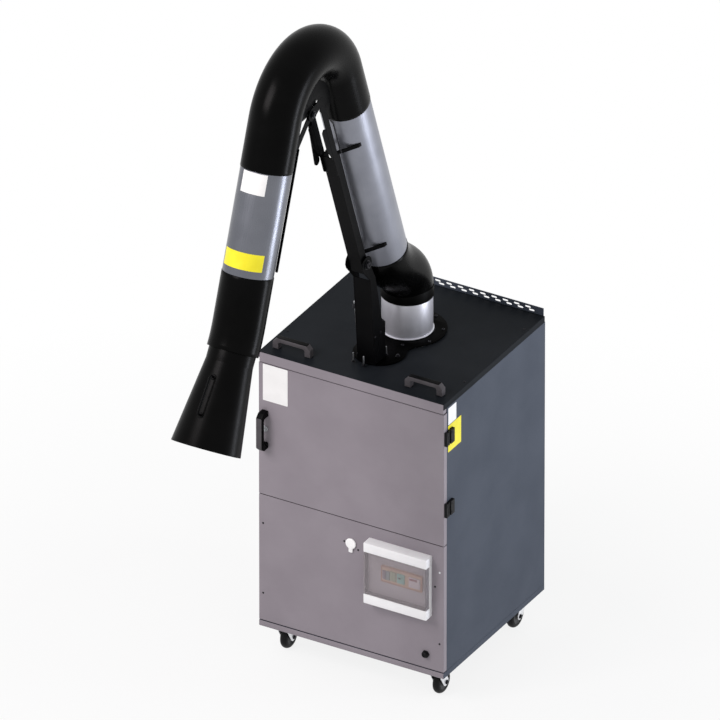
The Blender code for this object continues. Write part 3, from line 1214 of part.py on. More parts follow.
def base_hose(swivel):
    """From the collar's top, straight up, round to the lean of the lower duct."""
    along = Vector((0, -math.sin(ARM_LEAN), math.cos(ARM_LEAN)))
    behind = Vector((0, math.cos(ARM_LEAN), math.sin(ARM_LEAN)))
    pivot = Vector((0, -SHOULDER_FORWARD, SHOULDER_HEIGHT))
    end = pivot + behind * DUCT_BEHIND - along * (DUCT_START_DROP + TOUCH_GAP)
    start = Vector((0, 0, COLLAR_HEIGHT + TOUCH_GAP))
    ease = (end - start).length * BASE_HOSE_EASE_SHARE
    up = Vector((0, 0, 1))
    first, last = start + up * HOSE_LEAD, end - along * HOSE_LEAD
    path = bezier([first, first + up * ease, last - along * ease, last], BEND_STEPS)
    hose("base_hose", [start] + path + [end], HOSE_RUBBER, swivel)


def top_hose(shoulder):
    """Straight on from the lower duct, round the elbow pin, straight down to the upper duct."""
    sweep = math.pi - ARM_LEAN - FOREARM_LEAN
    start = Vector((0, DUCT_BEHIND, DUCT_END_RISE + TOUCH_GAP))
    points = [start]
    for angle in np.linspace(0, sweep, BEND_STEPS + 1):
        angle = float(angle)
        points.append(Vector((0, ELBOW_Y + BEND_RADIUS * math.cos(angle), ELBOW_Z + BEND_RADIUS * math.sin(angle))))
    leaving = Vector((0, -math.sin(sweep), math.cos(sweep)))
    points.append(points[-1] + leaving * (ELBOW_LEG - TOUCH_GAP))
    hose("top_hose", points, HOSE_RUBBER, shoulder)


def hood_hose(elbow):
    """From the upper duct's end through the hood pivot to the neck ring."""
    start = Vector((0, -BEND_RADIUS, UPPER_DUCT_END - TOUCH_GAP))
    pivot = Vector((0, -BEND_RADIUS, UPPER_DUCT_END - HOOD_PIVOT_DROP))
    leaving = Vector((0, -math.sin(HOOD_BEND), -math.cos(HOOD_BEND)))
    end = pivot + leaving * HOSE_END_DROP
    ease = Vector((0, 0, -(HOOD_PIVOT_DROP - HOSE_END_DROP)))
    path = bezier([start + ease, pivot, end - leaving * HOSE_LEAD], BEND_STEPS // 2)
    hose("hood_hose", [start] + path + [end], HOSE_RUBBER, elbow)


def stand_on_origin(frame):
    """Moves the frame so that the origin is the middle of the outline, on the floor."""
    bpy.context.view_layer.update()
    graph = bpy.context.evaluated_depsgraph_get()
    corners = []
    for obj in PARTS.objects:
        if obj.type == "MESH":
            mesh = obj.evaluated_get(graph).to_mesh()
            places = np.empty(len(mesh.vertices) * 3)
            mesh.vertices.foreach_get("co", places)
            matrix = np.array(obj.matrix_world)
            places = places.reshape(-1, 3) @ matrix[:3, :3].T + matrix[:3, 3]
            corners += [places.min(axis=0), places.max(axis=0)]
    low, high = np.min(corners, axis=0), np.max(corners, axis=0)
    frame.location = (-(low[0] + high[0]) / 2, -(low[1] + high[1]) / 2, -low[2])


def smooth_round_pieces():
    for obj in PARTS.objects:
        if obj.type == "MESH" and obj.data.polygons:
            obj.data.shade_smooth()
            obj.data.set_sharp_from_angle(angle=SMOOTH_ANGLE)


def build():
    frame = axis_empty("extractor_frame", (0, 0, 0), None)
    cabinet_shell(frame)
    front_covers(frame)
    lid_handles(frame)
    door_axis = door(frame)
    hinges(frame, door_axis)
    filters(frame)
    fan(frame)
    control_box(frame)
    lamp_and_gland(frame)
    casters(frame)
    ring_frame = axis_empty("ring_frame", (0, SWIVEL_BACK, LID_Z), frame)
    ring_under_plate(ring_frame)
    swivel = axis_empty("arm_swivel_axis", (0, SWIVEL_BACK, LID_Z), frame)
    arm_foot(swivel)
    base_hose(swivel)
    shoulder = axis_empty("shoulder_axis", (0, -SHOULDER_FORWARD, SHOULDER_HEIGHT), swivel, ARM_LEAN)
    lower_arm(shoulder)
    top_hose(shoulder)
    elbow = axis_empty("elbow_axis", (0, ELBOW_Y, ELBOW_Z), shoulder, -ARM_LEAN - FOREARM_LEAN)
    upper_arm(elbow)
    hood_hose(elbow)
    pivot_z = UPPER_DUCT_END - HOOD_PIVOT_DROP
    tilt = axis_empty("hood_tilt_axis", (0, -BEND_RADIUS, pivot_z), elbow, -HOOD_BEND)
    turn = axis_empty("hood_turn_axis", (0, 0, 0), tilt)
    hood(tilt, turn)
    stand_on_origin(frame)
    smooth_round_pieces()


build()
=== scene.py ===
# %% [markdown]
# # A mobile welding fume extractor
#
# The machine is a steel filter cabinet on four casters. On its lid turns a jointed arm: two ducts of
# thin metal tube, three smooth black hoses at the bends, and a conical hood at the end. The solids come
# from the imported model, which is the fixed frame here. This script gives each of them its finish and
# puts the finer forms around them: hoses that bend, round ducts, screws, wheels and the filter's pleats.

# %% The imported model
import json
import math

import bpy
import numpy as np
from mathutils import Matrix, Vector
from mathutils.geometry import tessellate_polygon


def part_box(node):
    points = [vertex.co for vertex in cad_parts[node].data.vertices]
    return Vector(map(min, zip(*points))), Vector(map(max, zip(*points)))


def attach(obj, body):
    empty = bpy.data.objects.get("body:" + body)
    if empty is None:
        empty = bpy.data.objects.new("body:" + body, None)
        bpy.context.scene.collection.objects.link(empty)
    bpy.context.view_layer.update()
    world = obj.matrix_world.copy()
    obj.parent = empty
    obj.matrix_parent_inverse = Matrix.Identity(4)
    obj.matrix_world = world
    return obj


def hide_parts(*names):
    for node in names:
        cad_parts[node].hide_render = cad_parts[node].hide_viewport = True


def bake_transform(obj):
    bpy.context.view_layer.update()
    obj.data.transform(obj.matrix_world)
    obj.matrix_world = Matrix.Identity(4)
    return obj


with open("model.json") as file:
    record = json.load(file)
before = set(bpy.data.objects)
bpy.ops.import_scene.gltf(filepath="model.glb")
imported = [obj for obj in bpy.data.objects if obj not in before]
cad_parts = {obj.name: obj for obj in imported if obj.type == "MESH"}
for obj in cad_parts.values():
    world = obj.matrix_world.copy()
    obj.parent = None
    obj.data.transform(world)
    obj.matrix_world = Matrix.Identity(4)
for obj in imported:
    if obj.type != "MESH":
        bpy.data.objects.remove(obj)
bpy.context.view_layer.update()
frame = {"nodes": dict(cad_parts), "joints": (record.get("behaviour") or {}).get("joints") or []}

CAD_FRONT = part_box("door")[0][1]
JOINT = {joint["name"]: np.array(joint["pos_m"]) for joint in frame["joints"]}

# %% [markdown]
# ## Lengths and places
#
# Everything is in metres, in the frame of the solids: X to the right, the door faces -Y, Z up. Each part
# of the arm lies in one upright plane, so a place on it is easiest to say in that part's own frame, with
# Z along the duct. A 4 by 4 matrix takes such a place to the world, and the joints' own points are where
# these frames start. The leans are the ones the arm is stored in.

# %% Frames along the arm
MM = 0.001
ARM_LEAN = math.radians(20)
FOREARM_LEAN = math.radians(-20)
HOOD_LEAN = math.radians(-32)


def leaning(origin, lean):
    """The frame at origin whose Z axis is turned about X by the lean."""
    return Matrix.Translation(origin) @ Matrix.Rotation(lean, 4, "X")


FOOT = leaning(JOINT["arm_swivel"], 0)
ARM = leaning(JOINT["shoulder_lean"], ARM_LEAN)
FOREARM = leaning(JOINT["elbow_fold"], FOREARM_LEAN)
HOOD = leaning(JOINT["hood_turn"], HOOD_LEAN)

# %% [markdown]
# ## Shapes as arrays
#
# A surface here is a grid of points, worked out whole with numpy: one array holds where every point is,
# and the faces follow from the grid's rows and columns. That is quicker than adding points one by one,
# and the formula stays in sight. A form is a pair: its points and its triangles.


# %% Grids, and what is done to any form
def unit(vectors):
    """The same ways, each one long."""
    vectors = np.asarray(vectors, float)
    return vectors / np.linalg.norm(vectors, axis=-1, keepdims=True)


def welded(points, faces):
    """Points at one place become one, faces that shrank to a line go, and the rest point outwards."""
    _, first, number = np.unique(np.round(points, 7), axis=0, return_index=True, return_inverse=True)
    faces = number.reshape(-1)[faces]
    whole = (faces[:, 0] != faces[:, 1]) & (faces[:, 1] != faces[:, 2]) & (faces[:, 0] != faces[:, 2])
    points, faces = points[first], faces[whole]
    corners = points[faces] - points.mean(axis=0)
    volume = np.einsum("ij,ij->i", corners[:, 0], np.cross(corners[:, 1], corners[:, 2])).sum()
    return points, faces if volume > 0 else faces[:, ::-1]


def gridded(points, wrap_rows=False, wrap_columns=True):
    """A grid of points as a form: two triangles in each of its cells."""
    rows, columns = points.shape[:2]
    row = np.arange(rows if wrap_rows else rows - 1)
    column = np.arange(columns if wrap_columns else columns - 1)
    row, column = np.meshgrid(row, column, indexing="ij")
    next_row, next_column = (row + 1) % rows, (column + 1) % columns
    a, b = row * columns + column, next_row * columns + column
    c, d = next_row * columns + next_column, row * columns + next_column
    faces = np.concatenate([np.stack([a, b, c], -1).reshape(-1, 3), np.stack([a, c, d], -1).reshape(-1, 3)])
    return welded(points.reshape(-1, 3), faces)


def together(*forms):
    """Several forms as one."""
    starts = np.cumsum([0] + [len(points) for points, _ in forms])
    return (np.concatenate([points for points, _ in forms]),
            np.concatenate([faces + start for (_, faces), start in zip(forms, starts)]))


def moved(points, matrix):
    """Points taken from a part's own frame to the world."""
    matrix = np.array(matrix)
    return np.asarray(points, float) @ matrix[:3, :3].T + matrix[:3, 3]


def placed(form, *matrices):
    """The form once for each of the matrices."""
    points, faces = form
    return together(*[(moved(points, matrix), faces) for matrix in matrices])


def at(x, y, z, facing=(0, 0, 1), roll=0.0):
    """The place at x, y, z whose own Z axis points the way that facing says."""
    turn = Vector((0, 0, 1)).rotation_difference(Vector(facing)).to_matrix().to_4x4()
    return Matrix.Translation((x, y, z)) @ turn @ Matrix.Rotation(roll, 4, "Z")


def laid(origin, across, up):
    """The place whose X axis runs along across and whose Y axis runs along up: for what lies on a face."""
    across, up = Vector(across), Vector(up)
    matrix = Matrix((across, up, across.cross(up))).transposed().to_4x4()
    return Matrix.Translation(origin) @ matrix


def on_front(x, y, z):
    """The place on a face that looks forward: its X runs to the right and its Y up."""
    return laid((x, y, z), (1, 0, 0), (0, 0, 1))


def on_side(x, y=0.0, z=0.0):
    """The place on a face that looks to the right: its X runs to the back and its Y up."""
    return laid((x, y, z), (0, 1, 0), (0, 0, 1))


# %% [markdown]
# ## The few shapes that make the rest
#
# A lathe turns an outline about Z. A sweep carries an outline along a path. A pressed plate gives a flat
# outline its thickness with rounded edges, and a block is a ball pulled apart at its eight corners, so
# its edges stay rounded. Rounded corners matter: a real edge always catches a thin line of light.


# %% Outlines, lathe, sweep, plate and block
def eased(corners, radius, steps=4, closed=True):
    """An outline whose corners are arcs, from where a circle of the radius touches one side to the next."""
    corners = np.asarray(corners, float)
    radii = np.broadcast_to(radius, len(corners))
    count, pieces = len(corners), []
    for number, (corner, size) in enumerate(zip(corners, radii)):
        if size == 0 or (not closed and number in (0, count - 1)):
            pieces.append(corner[None])
            continue
        before, after = unit(corners[number - 1] - corner), unit(corners[(number + 1) % count] - corner)
        half = math.acos(float(np.clip(before @ after, -1, 1))) / 2
        centre = corner + unit(before + after) * size / math.sin(half)
        reach = size / math.tan(half)
        start, end = corner + before * reach - centre, corner + after * reach - centre
        turn = math.pi - 2 * half
        share = np.linspace(0, 1, steps + 1)[:, None]
        spoke = np.sin((1 - share) * turn) * start + np.sin(share * turn) * end
        pieces.append(centre + spoke / math.sin(turn))
    return np.concatenate(pieces)


def lathe(profile, sides=64, ring=False):
    """(radius, height) points turned about Z: x = r cos a, y = r sin a. A ring's outline closes on itself."""
    profile = np.asarray(profile, float)
    angle = np.arange(sides) * 2 * math.pi / sides
    radius, height = profile[:, :1], profile[:, 1:]
    points = np.stack([radius * np.cos(angle), radius * np.sin(angle), height + 0 * angle], axis=-1)
    return gridded(points, wrap_rows=ring)


def sweep(path, section, side=(1, 0, 0), ring=False):
    """Carries the section's (across, up) points along the path: across runs along side, up square to it."""
    path, section = np.asarray(path, float), np.asarray(section, float)
    way = np.gradient(path, axis=0)
    if ring:
        way = np.roll(path, -1, axis=0) - np.roll(path, 1, axis=0)
    way = unit(way)
    across = unit(np.asarray(side, float) - (way @ np.asarray(side, float))[:, None] * way)
    up = np.cross(way, across)
    points = path[:, None] + section[None, :, :1] * across[:, None] + section[None, :, 1:] * up[:, None]
    if not ring:
        middle = path[:, None] + 0 * points
        points = np.concatenate([middle[:1], points, middle[-1:]])
    return gridded(points, wrap_rows=ring)


def circle(radius, sides=24):
    """Corners on a circle about the origin: x = r cos a, y = r sin a."""
    angle = np.arange(sides) * 2 * math.pi / sides
    return np.stack([radius * np.cos(angle), radius * np.sin(angle)], axis=-1)


def rounded(width, height, radius, steps=3):
    """A rectangle about the origin with rounded corners."""
    w, h = width / 2, height / 2
    return eased([(-w, -h), (w, -h), (w, h), (-w, h)], radius, steps)


def pressed(outlines, thickness, edge=0.4 * MM, steps=2):
    """Flat outlines with thickness along Z, the first the rim and the others holes in it.

    Each level is the outline drawn in along its own normals, by a quarter circle at the rims of both faces.
    """
    turn = np.linspace(0, math.pi / 2, steps + 1)
    drawn_in = np.concatenate([1 - np.sin(turn), 1 - np.cos(turn)]) * edge
    height = np.concatenate([edge * (1 - np.cos(turn)), thickness - edge * (1 - np.sin(turn))])
    points, walls, loops, start = [], [], [], 0
    for number, outline in enumerate(outlines):
        outline = np.asarray(outline, float)
        area = (outline[:, 0] * np.roll(outline[:, 1], -1) - np.roll(outline[:, 0], -1) * outline[:, 1]).sum()
        if (area > 0) != (number == 0):
            outline = outline[::-1]
        way = unit(np.roll(outline, -1, axis=0) - np.roll(outline, 1, axis=0))
        flat = outline[None] + drawn_in[:, None, None] * np.stack([-way[:, 1], way[:, 0]], axis=-1)
        level = np.broadcast_to(height[:, None, None], flat.shape[:2] + (1,))
        rows, columns = flat.shape[:2]
        row, column = np.meshgrid(np.arange(rows - 1), np.arange(columns), indexing="ij")
        a, b = start + row * columns + column, start + row * columns + (column + 1) % columns
        c, d = b + columns, a + columns
        walls += [np.stack([a, b, c], -1).reshape(-1, 3), np.stack([a, c, d], -1).reshape(-1, 3)]
        points.append(np.concatenate([flat, level], axis=-1).reshape(-1, 3))
        loops.append(start + np.arange(columns))
        start += rows * columns
    points, rim = np.concatenate(points), np.concatenate(loops)
    top = np.concatenate([loop + (rows - 1) * len(loop) for loop in loops])
    cap = np.array(tessellate_polygon([[Vector((x, y, 0)) for x, y, _ in points[loop]] for loop in loops]))
    ab, ac = (points[rim[cap[:, k]], :2] - points[rim[cap[:, 0]], :2] for k in (1, 2))
    turned = ab[:, 0] * ac[:, 1] - ab[:, 1] * ac[:, 0] < 0
    cap[turned] = cap[turned][:, ::-1]
    return welded(points, np.concatenate([*walls, rim[cap[:, ::-1]], top[cap]]))


def block(low, high, radius, steps=3):
    """A box with rounded edges: a ball's points, each moved out by its octant's corner."""
    low, high = np.asarray(low, float), np.asarray(high, float)
    centre, half = (low + high) / 2, (high - low) / 2 - radius
    quarter = np.linspace(0, math.pi / 2, steps + 1)
    latitude = np.concatenate([quarter - math.pi / 2, quarter])[:, None]
    longitude = np.concatenate([quarter + turn * math.pi / 2 for turn in range(4)])
    up = np.repeat([-1, 1], steps + 1)
    right, back = np.repeat([1, -1, -1, 1], steps + 1), np.repeat([1, 1, -1, -1], steps + 1)
    ball = np.stack([np.cos(latitude) * np.cos(longitude), np.cos(latitude) * np.sin(longitude),
                     np.sin(latitude) + 0 * longitude], axis=-1)
    octant = np.stack(np.broadcast_arrays(right[None], back[None], up[:, None]), axis=-1)
    points = centre + octant * half + ball * radius
    poles = centre + np.array([[0, 0, -1], [0, 0, 1]]) * (half[2] + radius)
    top, bottom = (np.broadcast_to(pole, (1, points.shape[1], 3)) for pole in (poles[1], poles[0]))
    return gridded(np.concatenate([bottom, points, top]))


# %% Putting a form into the scene
SHARP_FROM = math.radians(38)


def piece(name, form, finish, body, *stands_for, sharp_from=SHARP_FROM):
    """Makes the object, moves it with its body, and hides the solids that it stands for."""
    points, faces = form
    mesh = bpy.data.meshes.new(name)
    mesh.from_pydata(points, [], faces)
    mesh.shade_smooth()
    mesh.set_sharp_from_angle(angle=sharp_from)
    mesh.materials.append(finish)
    obj = bpy.data.objects.new(name, mesh)
    bpy.context.scene.collection.objects.link(obj)
    if body:
        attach(obj, body)
    if stands_for:
        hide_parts(*stands_for)
    print(f"{name}: {len(faces)} triangles")
    return obj


# %% [markdown]
# ## Finishes
#
# A finish starts from what the real surface is and how it was made. Powder paint is baked plastic: a
# soft sheen over a skin with the fine waves called orange peel. Its colour is almost even, so only a
# breath of variation is added. All patterns read Object coordinates in metres, so their scale is real.


# %% Colour and node helpers
def colour(text):
    """An sRGB hex colour in linear light."""
    parts = np.array([int(text[i:i + 2], 16) for i in (1, 3, 5)]) / 255
    parts = np.where(parts <= 0.04045, parts / 12.92, ((parts + 0.055) / 1.055) ** 2.4)
    return (*(float(part) for part in parts), 1.0)


def add(tree, kind, sockets, links, **settings):
    """Adds one node with its socket values, its links from other nodes and its settings."""
    node = tree.nodes.new(kind)
    for name, value in settings.items():
        setattr(node, name, value)
    for name, value in sockets.items():
        node.inputs[name].default_value = value
    for name, source in links.items():
        tree.links.new(source, node.inputs[name])
    return node


def new_finish(name, base, roughness, metallic=0.0, **more):
    """A named finish with its shader's even values set, and the place that its patterns read."""
    material = bpy.data.materials.new(name)
    material.use_nodes = True
    tree = material.node_tree
    shader = tree.nodes["Principled BSDF"]
    shader.inputs["Base Color"].default_value = colour(base)
    shader.inputs["Roughness"].default_value = roughness
    shader.inputs["Metallic"].default_value = metallic
    for key, value in more.items():
        shader.inputs[key.replace("_", " ")].default_value = value
    return material, tree, shader, add(tree, "ShaderNodeTexCoord", {}, {}).outputs["Object"]


def mottle(tree, shader, place, light, dark, grain):
    """Lets the colour drift between two close shades over patches of the grain's size."""
    cloud = add(tree, "ShaderNodeTexNoise", {"Scale": 1 / grain, "Detail": 3.0}, {"Vector": place})
    ramp = add(tree, "ShaderNodeValToRGB", {}, {"Fac": cloud.outputs["Fac"]})
    ramp.color_ramp.elements[0].color, ramp.color_ramp.elements[1].color = colour(dark), colour(light)
    ramp.color_ramp.elements[0].position, ramp.color_ramp.elements[1].position = 0.35, 0.65
    tree.links.new(ramp.outputs["Color"], shader.inputs["Base Color"])


def skin(tree, shader, place, grain, depth, edge=0.0, stretch=(1, 1, 1)):
    """Raises a fine uneven skin of the given wave length and depth, over edges rounded by the edge radius."""
    spread = add(tree, "ShaderNodeMapping", {"Scale": stretch}, {"Vector": place})
    waves = add(tree, "ShaderNodeTexNoise", {"Scale": 1 / grain, "Detail": 2.0},
                {"Vector": spread.outputs["Vector"]})
    links = {"Height": waves.outputs["Fac"]}
    if edge:
        links["Normal"] = add(tree, "ShaderNodeBevel", {"Radius": edge}, {}, samples=6).outputs["Normal"]
    bump = add(tree, "ShaderNodeBump", {"Strength": 1.0, "Distance": depth}, links)
    tree.links.new(bump.outputs["Normal"], shader.inputs["Normal"])
    return waves


def rub(tree, shader, waves, smooth, rough):
    """Lets the sheen follow the waves, from smooth in the hollows to rough on top."""
    limits = {"From Min": 0.3, "From Max": 0.7, "To Min": smooth, "To Max": rough}
    spread = add(tree, "ShaderNodeMapRange", limits, {"Value": waves.outputs["Fac"]})
    tree.links.new(spread.outputs["Result"], shader.inputs["Roughness"])


# %% Powder coats
ORANGE_PEEL = 5 * MM  # real waves are about 1.5 mm long, drawn coarser so that they show
PEEL_DEPTH = 0.015 * MM
FOLD_RADIUS = 1.2 * MM  # a folded 2 mm sheet has this outer radius


def powder_coat(name, base, light, dark, rough=0.42, gloss=0.2):
    """Polyester powder baked on steel sheet: a soft sheen with orange peel, and edges that stay rounded."""
    material, tree, shader, place = new_finish(name, base, rough, Specular_IOR_Level=gloss)
    mottle(tree, shader, place, light, dark, 140 * MM)
    waves = skin(tree, shader, place, ORANGE_PEEL, PEEL_DEPTH, FOLD_RADIUS)
    rub(tree, shader, waves, rough - 0.04, rough + 0.05)
    return material


# One paint in three shades for how light falls: mauve grey is its front-lit look, the sides' slate and the
# lid's near black are painted shade.
MAUVE_GREY = powder_coat("mauve_grey_powder_coat", "#8F888F", "#928B92", "#8C858C")
SIDE_SHADE_COAT = powder_coat("side_painted_shade_coat", "#4B515C", "#4E545F", "#484E59", 0.42, 0.05)
LID_SHADE_COAT = powder_coat("lid_painted_shade_coat", "#1F2226", "#212428", "#1D2024", 0.38, 0.02)
FRAME_BLACK = powder_coat("black_powder_coat", "#070708", "#09090A", "#050506", 0.4, 0.03)
PLATE_BLACK = powder_coat("black_plate_coat", "#030303", "#040404", "#020202", 0.35, 0.01)


# %% [markdown]
# The two ducts and the collar are rolled from thin metal. Rolling leaves faint lines along the tube and
# a satin surface, so the highlights are long soft stripes. The hoses are coated fabric over a spring;
# stretched over it, the coating is smooth and nearly black, with a wide soft shine.


# %% Metals and hose
def rolled_metal(name, base, light, dark, rough, turn, bare=0.85):
    """Thin rolled metal: satin, faint streaks along the tube, and a dull share where bare is below one."""
    material, tree, shader, place = new_finish(name, base, rough, bare)
    mottle(tree, shader, place, light, dark, 90 * MM)
    along = add(tree, "ShaderNodeMapping", {"Rotation": (turn, 0, 0)}, {"Vector": place})
    waves = skin(tree, shader, along.outputs["Vector"], 2.5 * MM, 0.006 * MM, 0.0, (1, 1, 0.04))
    rub(tree, shader, waves, rough - 0.05, rough + 0.06)
    return material


# The lower duct is the upper one's aluminium, made lighter and duller to stand in for the broad highlight on
# it: painted light.
LOWER_DUCT_METAL = rolled_metal(
    "rolled_aluminium_lower_painted_light", "#868891", "#8A8C95", "#82848D", 0.4, -ARM_LEAN, 0.65)
UPPER_DUCT_METAL = rolled_metal(
    "satin_rolled_aluminium_upper", "#6C6E75", "#6F7178", "#696B72", 0.3, -FOREARM_LEAN)
# Galvanised sheet, made much lighter than the ducts to stand in for the bright bands of light on it: partly
# painted highlight.
COLLAR_METAL = rolled_metal("galvanised_collar_painted_highlight", "#D0D0D8", "#D4D4DC", "#CBCBD3", 0.42, 0, 0.6)


def coated_hose(name, rough=0.25):
    """Plastic-coated fabric pulled smooth over a steel spring: black, with a wide soft shine."""
    material, tree, shader, place = new_finish(name, "#040404", rough, Specular_IOR_Level=0.045)
    mottle(tree, shader, place, "#050505", "#030303", 60 * MM)
    waves = skin(tree, shader, place, 16 * MM, 0.008 * MM)
    rub(tree, shader, waves, rough - 0.02, rough + 0.03)
    return material


HOSE_BLACK = coated_hose("coated_fabric_hose")
HOOD_BLACK = coated_hose("black_stove_enamel", rough=0.3)
CUFF_BLACK = coated_hose("black_rubber_cuff", rough=0.45)


# %% [markdown]
# Small parts have their own makers' finishes: handles and hinges are glass-filled nylon with a fine
# matt grain from the mould, screws are blackened and forks zinc plated, wheels are solid rubber, and the
# control box is white ABS with a flap of slightly hazy polycarbonate.


# %% Plastics, rubber, plated steel and the rest
def moulded(name, base, light, dark, rough, grain=1.6 * MM, depth=0.03 * MM, **more):
    """Moulded plastic with the fine grain that the mould's face leaves."""
    material, tree, shader, place = new_finish(name, base, rough, **more)
    mottle(tree, shader, place, light, dark, 45 * MM)
    waves = skin(tree, shader, place, grain, depth, 0.8 * MM)
    rub(tree, shader, waves, rough - 0.05, rough + 0.06)
    return material


def plated(name, base, light, dark, rough):
    """Zinc plating on pressed steel: cloudy patches, each with its own faint shade."""
    material, tree, shader, place = new_finish(name, base, rough, 1.0)
    mottle(tree, shader, place, light, dark, 12 * MM)
    waves = skin(tree, shader, place, 2 * MM, 0.01 * MM, 0.5 * MM)
    rub(tree, shader, waves, rough - 0.06, rough + 0.08)
    return material


NYLON = moulded("black_glass_filled_nylon", "#0F0F11", "#121214", "#0C0C0E", 0.42, Specular_IOR_Level=0.12)
GRIP_BLACK = moulded("black_grip_nylon", "#050506", "#070708", "#030304", 0.4, Specular_IOR_Level=0.04)
# Grey is painted light on black nylon: the look of its faces that look forward.
LIT_HANDLE_GREY = moulded("handle_nylon_painted_light", "#4E4B4E", "#535053", "#494649", 0.45, Specular_IOR_Level=0.1)
HUB_GREY = moulded("grey_wheel_hub", "#4A4A4B", "#505051", "#434344", 0.45, Specular_IOR_Level=0.2)
LINER_GREY = moulded("grey_box_backing", "#A69FA4", "#A9A2A7", "#A29BA0", 0.5)
# Dark grey for the walls of the window's recess: painted shade.
RECESS_SHADE_DARK = moulded("window_recess_painted_shade", "#4A494B", "#4E4D4F", "#464547", 0.5)
WHITE_ABS = moulded("white_abs", "#F4F4F5", "#F6F6F7", "#F1F1F3", 0.35, 2.4 * MM, 0.01 * MM)
LAMP_WHITE = moulded("white_lamp_lens", "#FCFCFC", "#FFFFFF", "#F8F8F8", 0.25, 3 * MM, 0.01 * MM)
MODULE_CREAM = moulded("cream_module_cover", "#B39478", "#B99A7E", "#AD8E72", 0.45)
MODULE_BROWN = moulded("brown_module_edge", "#A06E4E", "#A67454", "#9A6848", 0.45)
MODULE_PLUM = moulded("plum_breaker", "#6C5D67", "#71626C", "#675862", 0.45)
MODULE_GREY = moulded("grey_breaker", "#6C7B7B", "#718080", "#677676", 0.45)
MODULE_OLIVE = moulded("olive_relay", "#8C9474", "#919979", "#878F6F", 0.45)
MODULE_TEAL = moulded("teal_relay", "#6BA092", "#70A597", "#669B8D", 0.45)
MODULE_WHITE = moulded("white_controller", "#BDB0B4", "#C2B5B9", "#B8ABAF", 0.4)
DISPLAY_RED = moulded("red_display_window", "#7C2F39", "#81343E", "#772A34", 0.2)
WHEEL_RUBBER = moulded("solid_wheel_rubber", "#0E0E0F", "#121213", "#0B0B0C", 0.45, 1.8 * MM, 0.04 * MM,
                       Specular_IOR_Level=0.15)
SEAL_FOAM = moulded("cellular_seal_rubber", "#17171A", "#1C1C1F", "#121214", 0.85, 1.2 * MM, 0.15 * MM)
ZINC = plated("zinc_plated_steel", "#AEB0B4", "#B8BABE", "#A2A4A8", 0.34)
DARK_BOLT = plated("blackened_bolt_steel", "#2A2A2D", "#333336", "#222225", 0.4)
PALE_ROD = plated("dull_zinc_rod", "#7E7F82", "#88898C", "#747578", 0.4)
CASTER_ZINC = plated("bright_zinc_pressing", "#E6E7EA", "#EDEEF0", "#DCDDE0", 0.45)
BARE_SHEET = plated("galvanised_sheet", "#9C9FA2", "#A8ABAE", "#8F9295", 0.42)
MOTOR_GREY = moulded("cast_motor_paint", "#3A4046", "#40464C", "#34393F", 0.5, 2.2 * MM, 0.1 * MM)
WHITE_VINYL = moulded("white_vinyl", "#F3F3F2", "#F5F5F4", "#F0F0EF", 0.35, 4 * MM, 0.004 * MM)
YELLOW_VINYL = moulded("yellow_vinyl", "#F2E61E", "#F5EA26", "#EEE118", 0.35, 4 * MM, 0.004 * MM)


# %% Hazy flap
def hazy_polycarbonate():
    """Moulded polycarbonate with a milky haze: most light passes straight through, some is scattered."""
    material, tree, shader, place = new_finish(
        "hazy_polycarbonate", "#C2BBBF", 0.12, Transmission_Weight=0.35, IOR=1.05, Alpha=0.33)
    skin(tree, shader, place, 30 * MM, 0.02 * MM)
    return material


CLEAR_FLAP = hazy_polycarbonate()


# %% Filter fleece
def fleece():
    """Pleated polyester fleece: short matted fibres, off-white, with no shine."""
    material, tree, shader, place = new_finish("polyester_filter_fleece", "#E4E1D8", 0.9, Sheen_Weight=0.3)
    mottle(tree, shader, place, "#E9E6DD", "#DDD9CE", 20 * MM)
    skin(tree, shader, place, 1.5 * MM, 0.25 * MM)
    return material


FLEECE = fleece()

# %% [markdown]
# ## Finishes for the solids that stay
#
# The folded sheets, the arm's steel channels and the small brackets are true to shape as they are, so
# they stay and only take their finish. The cabinet is one paint in three shades for how light falls on it:
# the fronts in their lit shade, and painted shade on the slate sides and the dark lid.

# %% One finish for each solid
CORNERS = ["front_left", "front_right", "rear_left", "rear_right"]
FINISH_OF = {
    MAUVE_GREY: ["door", "front_top_rail", "lower_front_panel"],
    SIDE_SHADE_COAT: ["left_side_panel", "right_side_panel", "rear_panel", "base_pan"],
    LID_SHADE_COAT: ["top_lid"],
    FRAME_BLACK: ["swivel_plate", "shoulder_bracket", "lower_arm_channel", "upper_arm_channel",
                  "duct_clamp_lower", "duct_clamp_upper", "elbow_link", "hood_neck", "bracket_stay"],
    BARE_SHEET: ["middle_shelf", "fan_housing", "swivel_ring", "impeller", "spark_arrestor",
                 *("caster_plate_" + corner for corner in CORNERS)],
    ZINC: ["shoulder_pin", "door_lock", *("caster_fork_" + corner for corner in CORNERS)],
    WHEEL_RUBBER: ["caster_wheel_" + corner for corner in CORNERS],
    NYLON: ["door_handle", "lid_handle_left", "lid_handle_right", "hinge_block_upper", "hinge_block_lower",
            "hinge_leaf_upper", "hinge_leaf_lower", "cable_gland", "breaker_toggle", "hood_handle"],
    HOOD_BLACK: ["hood"],
    HOSE_BLACK: ["base_hose", "top_hose", "hood_hose"],
    LOWER_DUCT_METAL: ["lower_duct"],
    UPPER_DUCT_METAL: ["upper_duct"],
    COLLAR_METAL: ["collar"],
    WHITE_ABS: ["control_box"],
    LAMP_WHITE: ["indicator_lamp"],
    MODULE_CREAM: ["control_modules"],
    CLEAR_FLAP: ["control_box_window"],
    SEAL_FOAM: ["door_seal"],
    MOTOR_GREY: ["fan_motor"],
    FLEECE: ["main_filter"],
}
for finish, names in FINISH_OF.items():
    for name in names:
        solid = frame["nodes"][name].data
        solid.materials.clear()
        solid.materials.append(finish)
print(sum(map(len, FINISH_OF.values())), "solids painted with", len(FINISH_OF), "finishes")

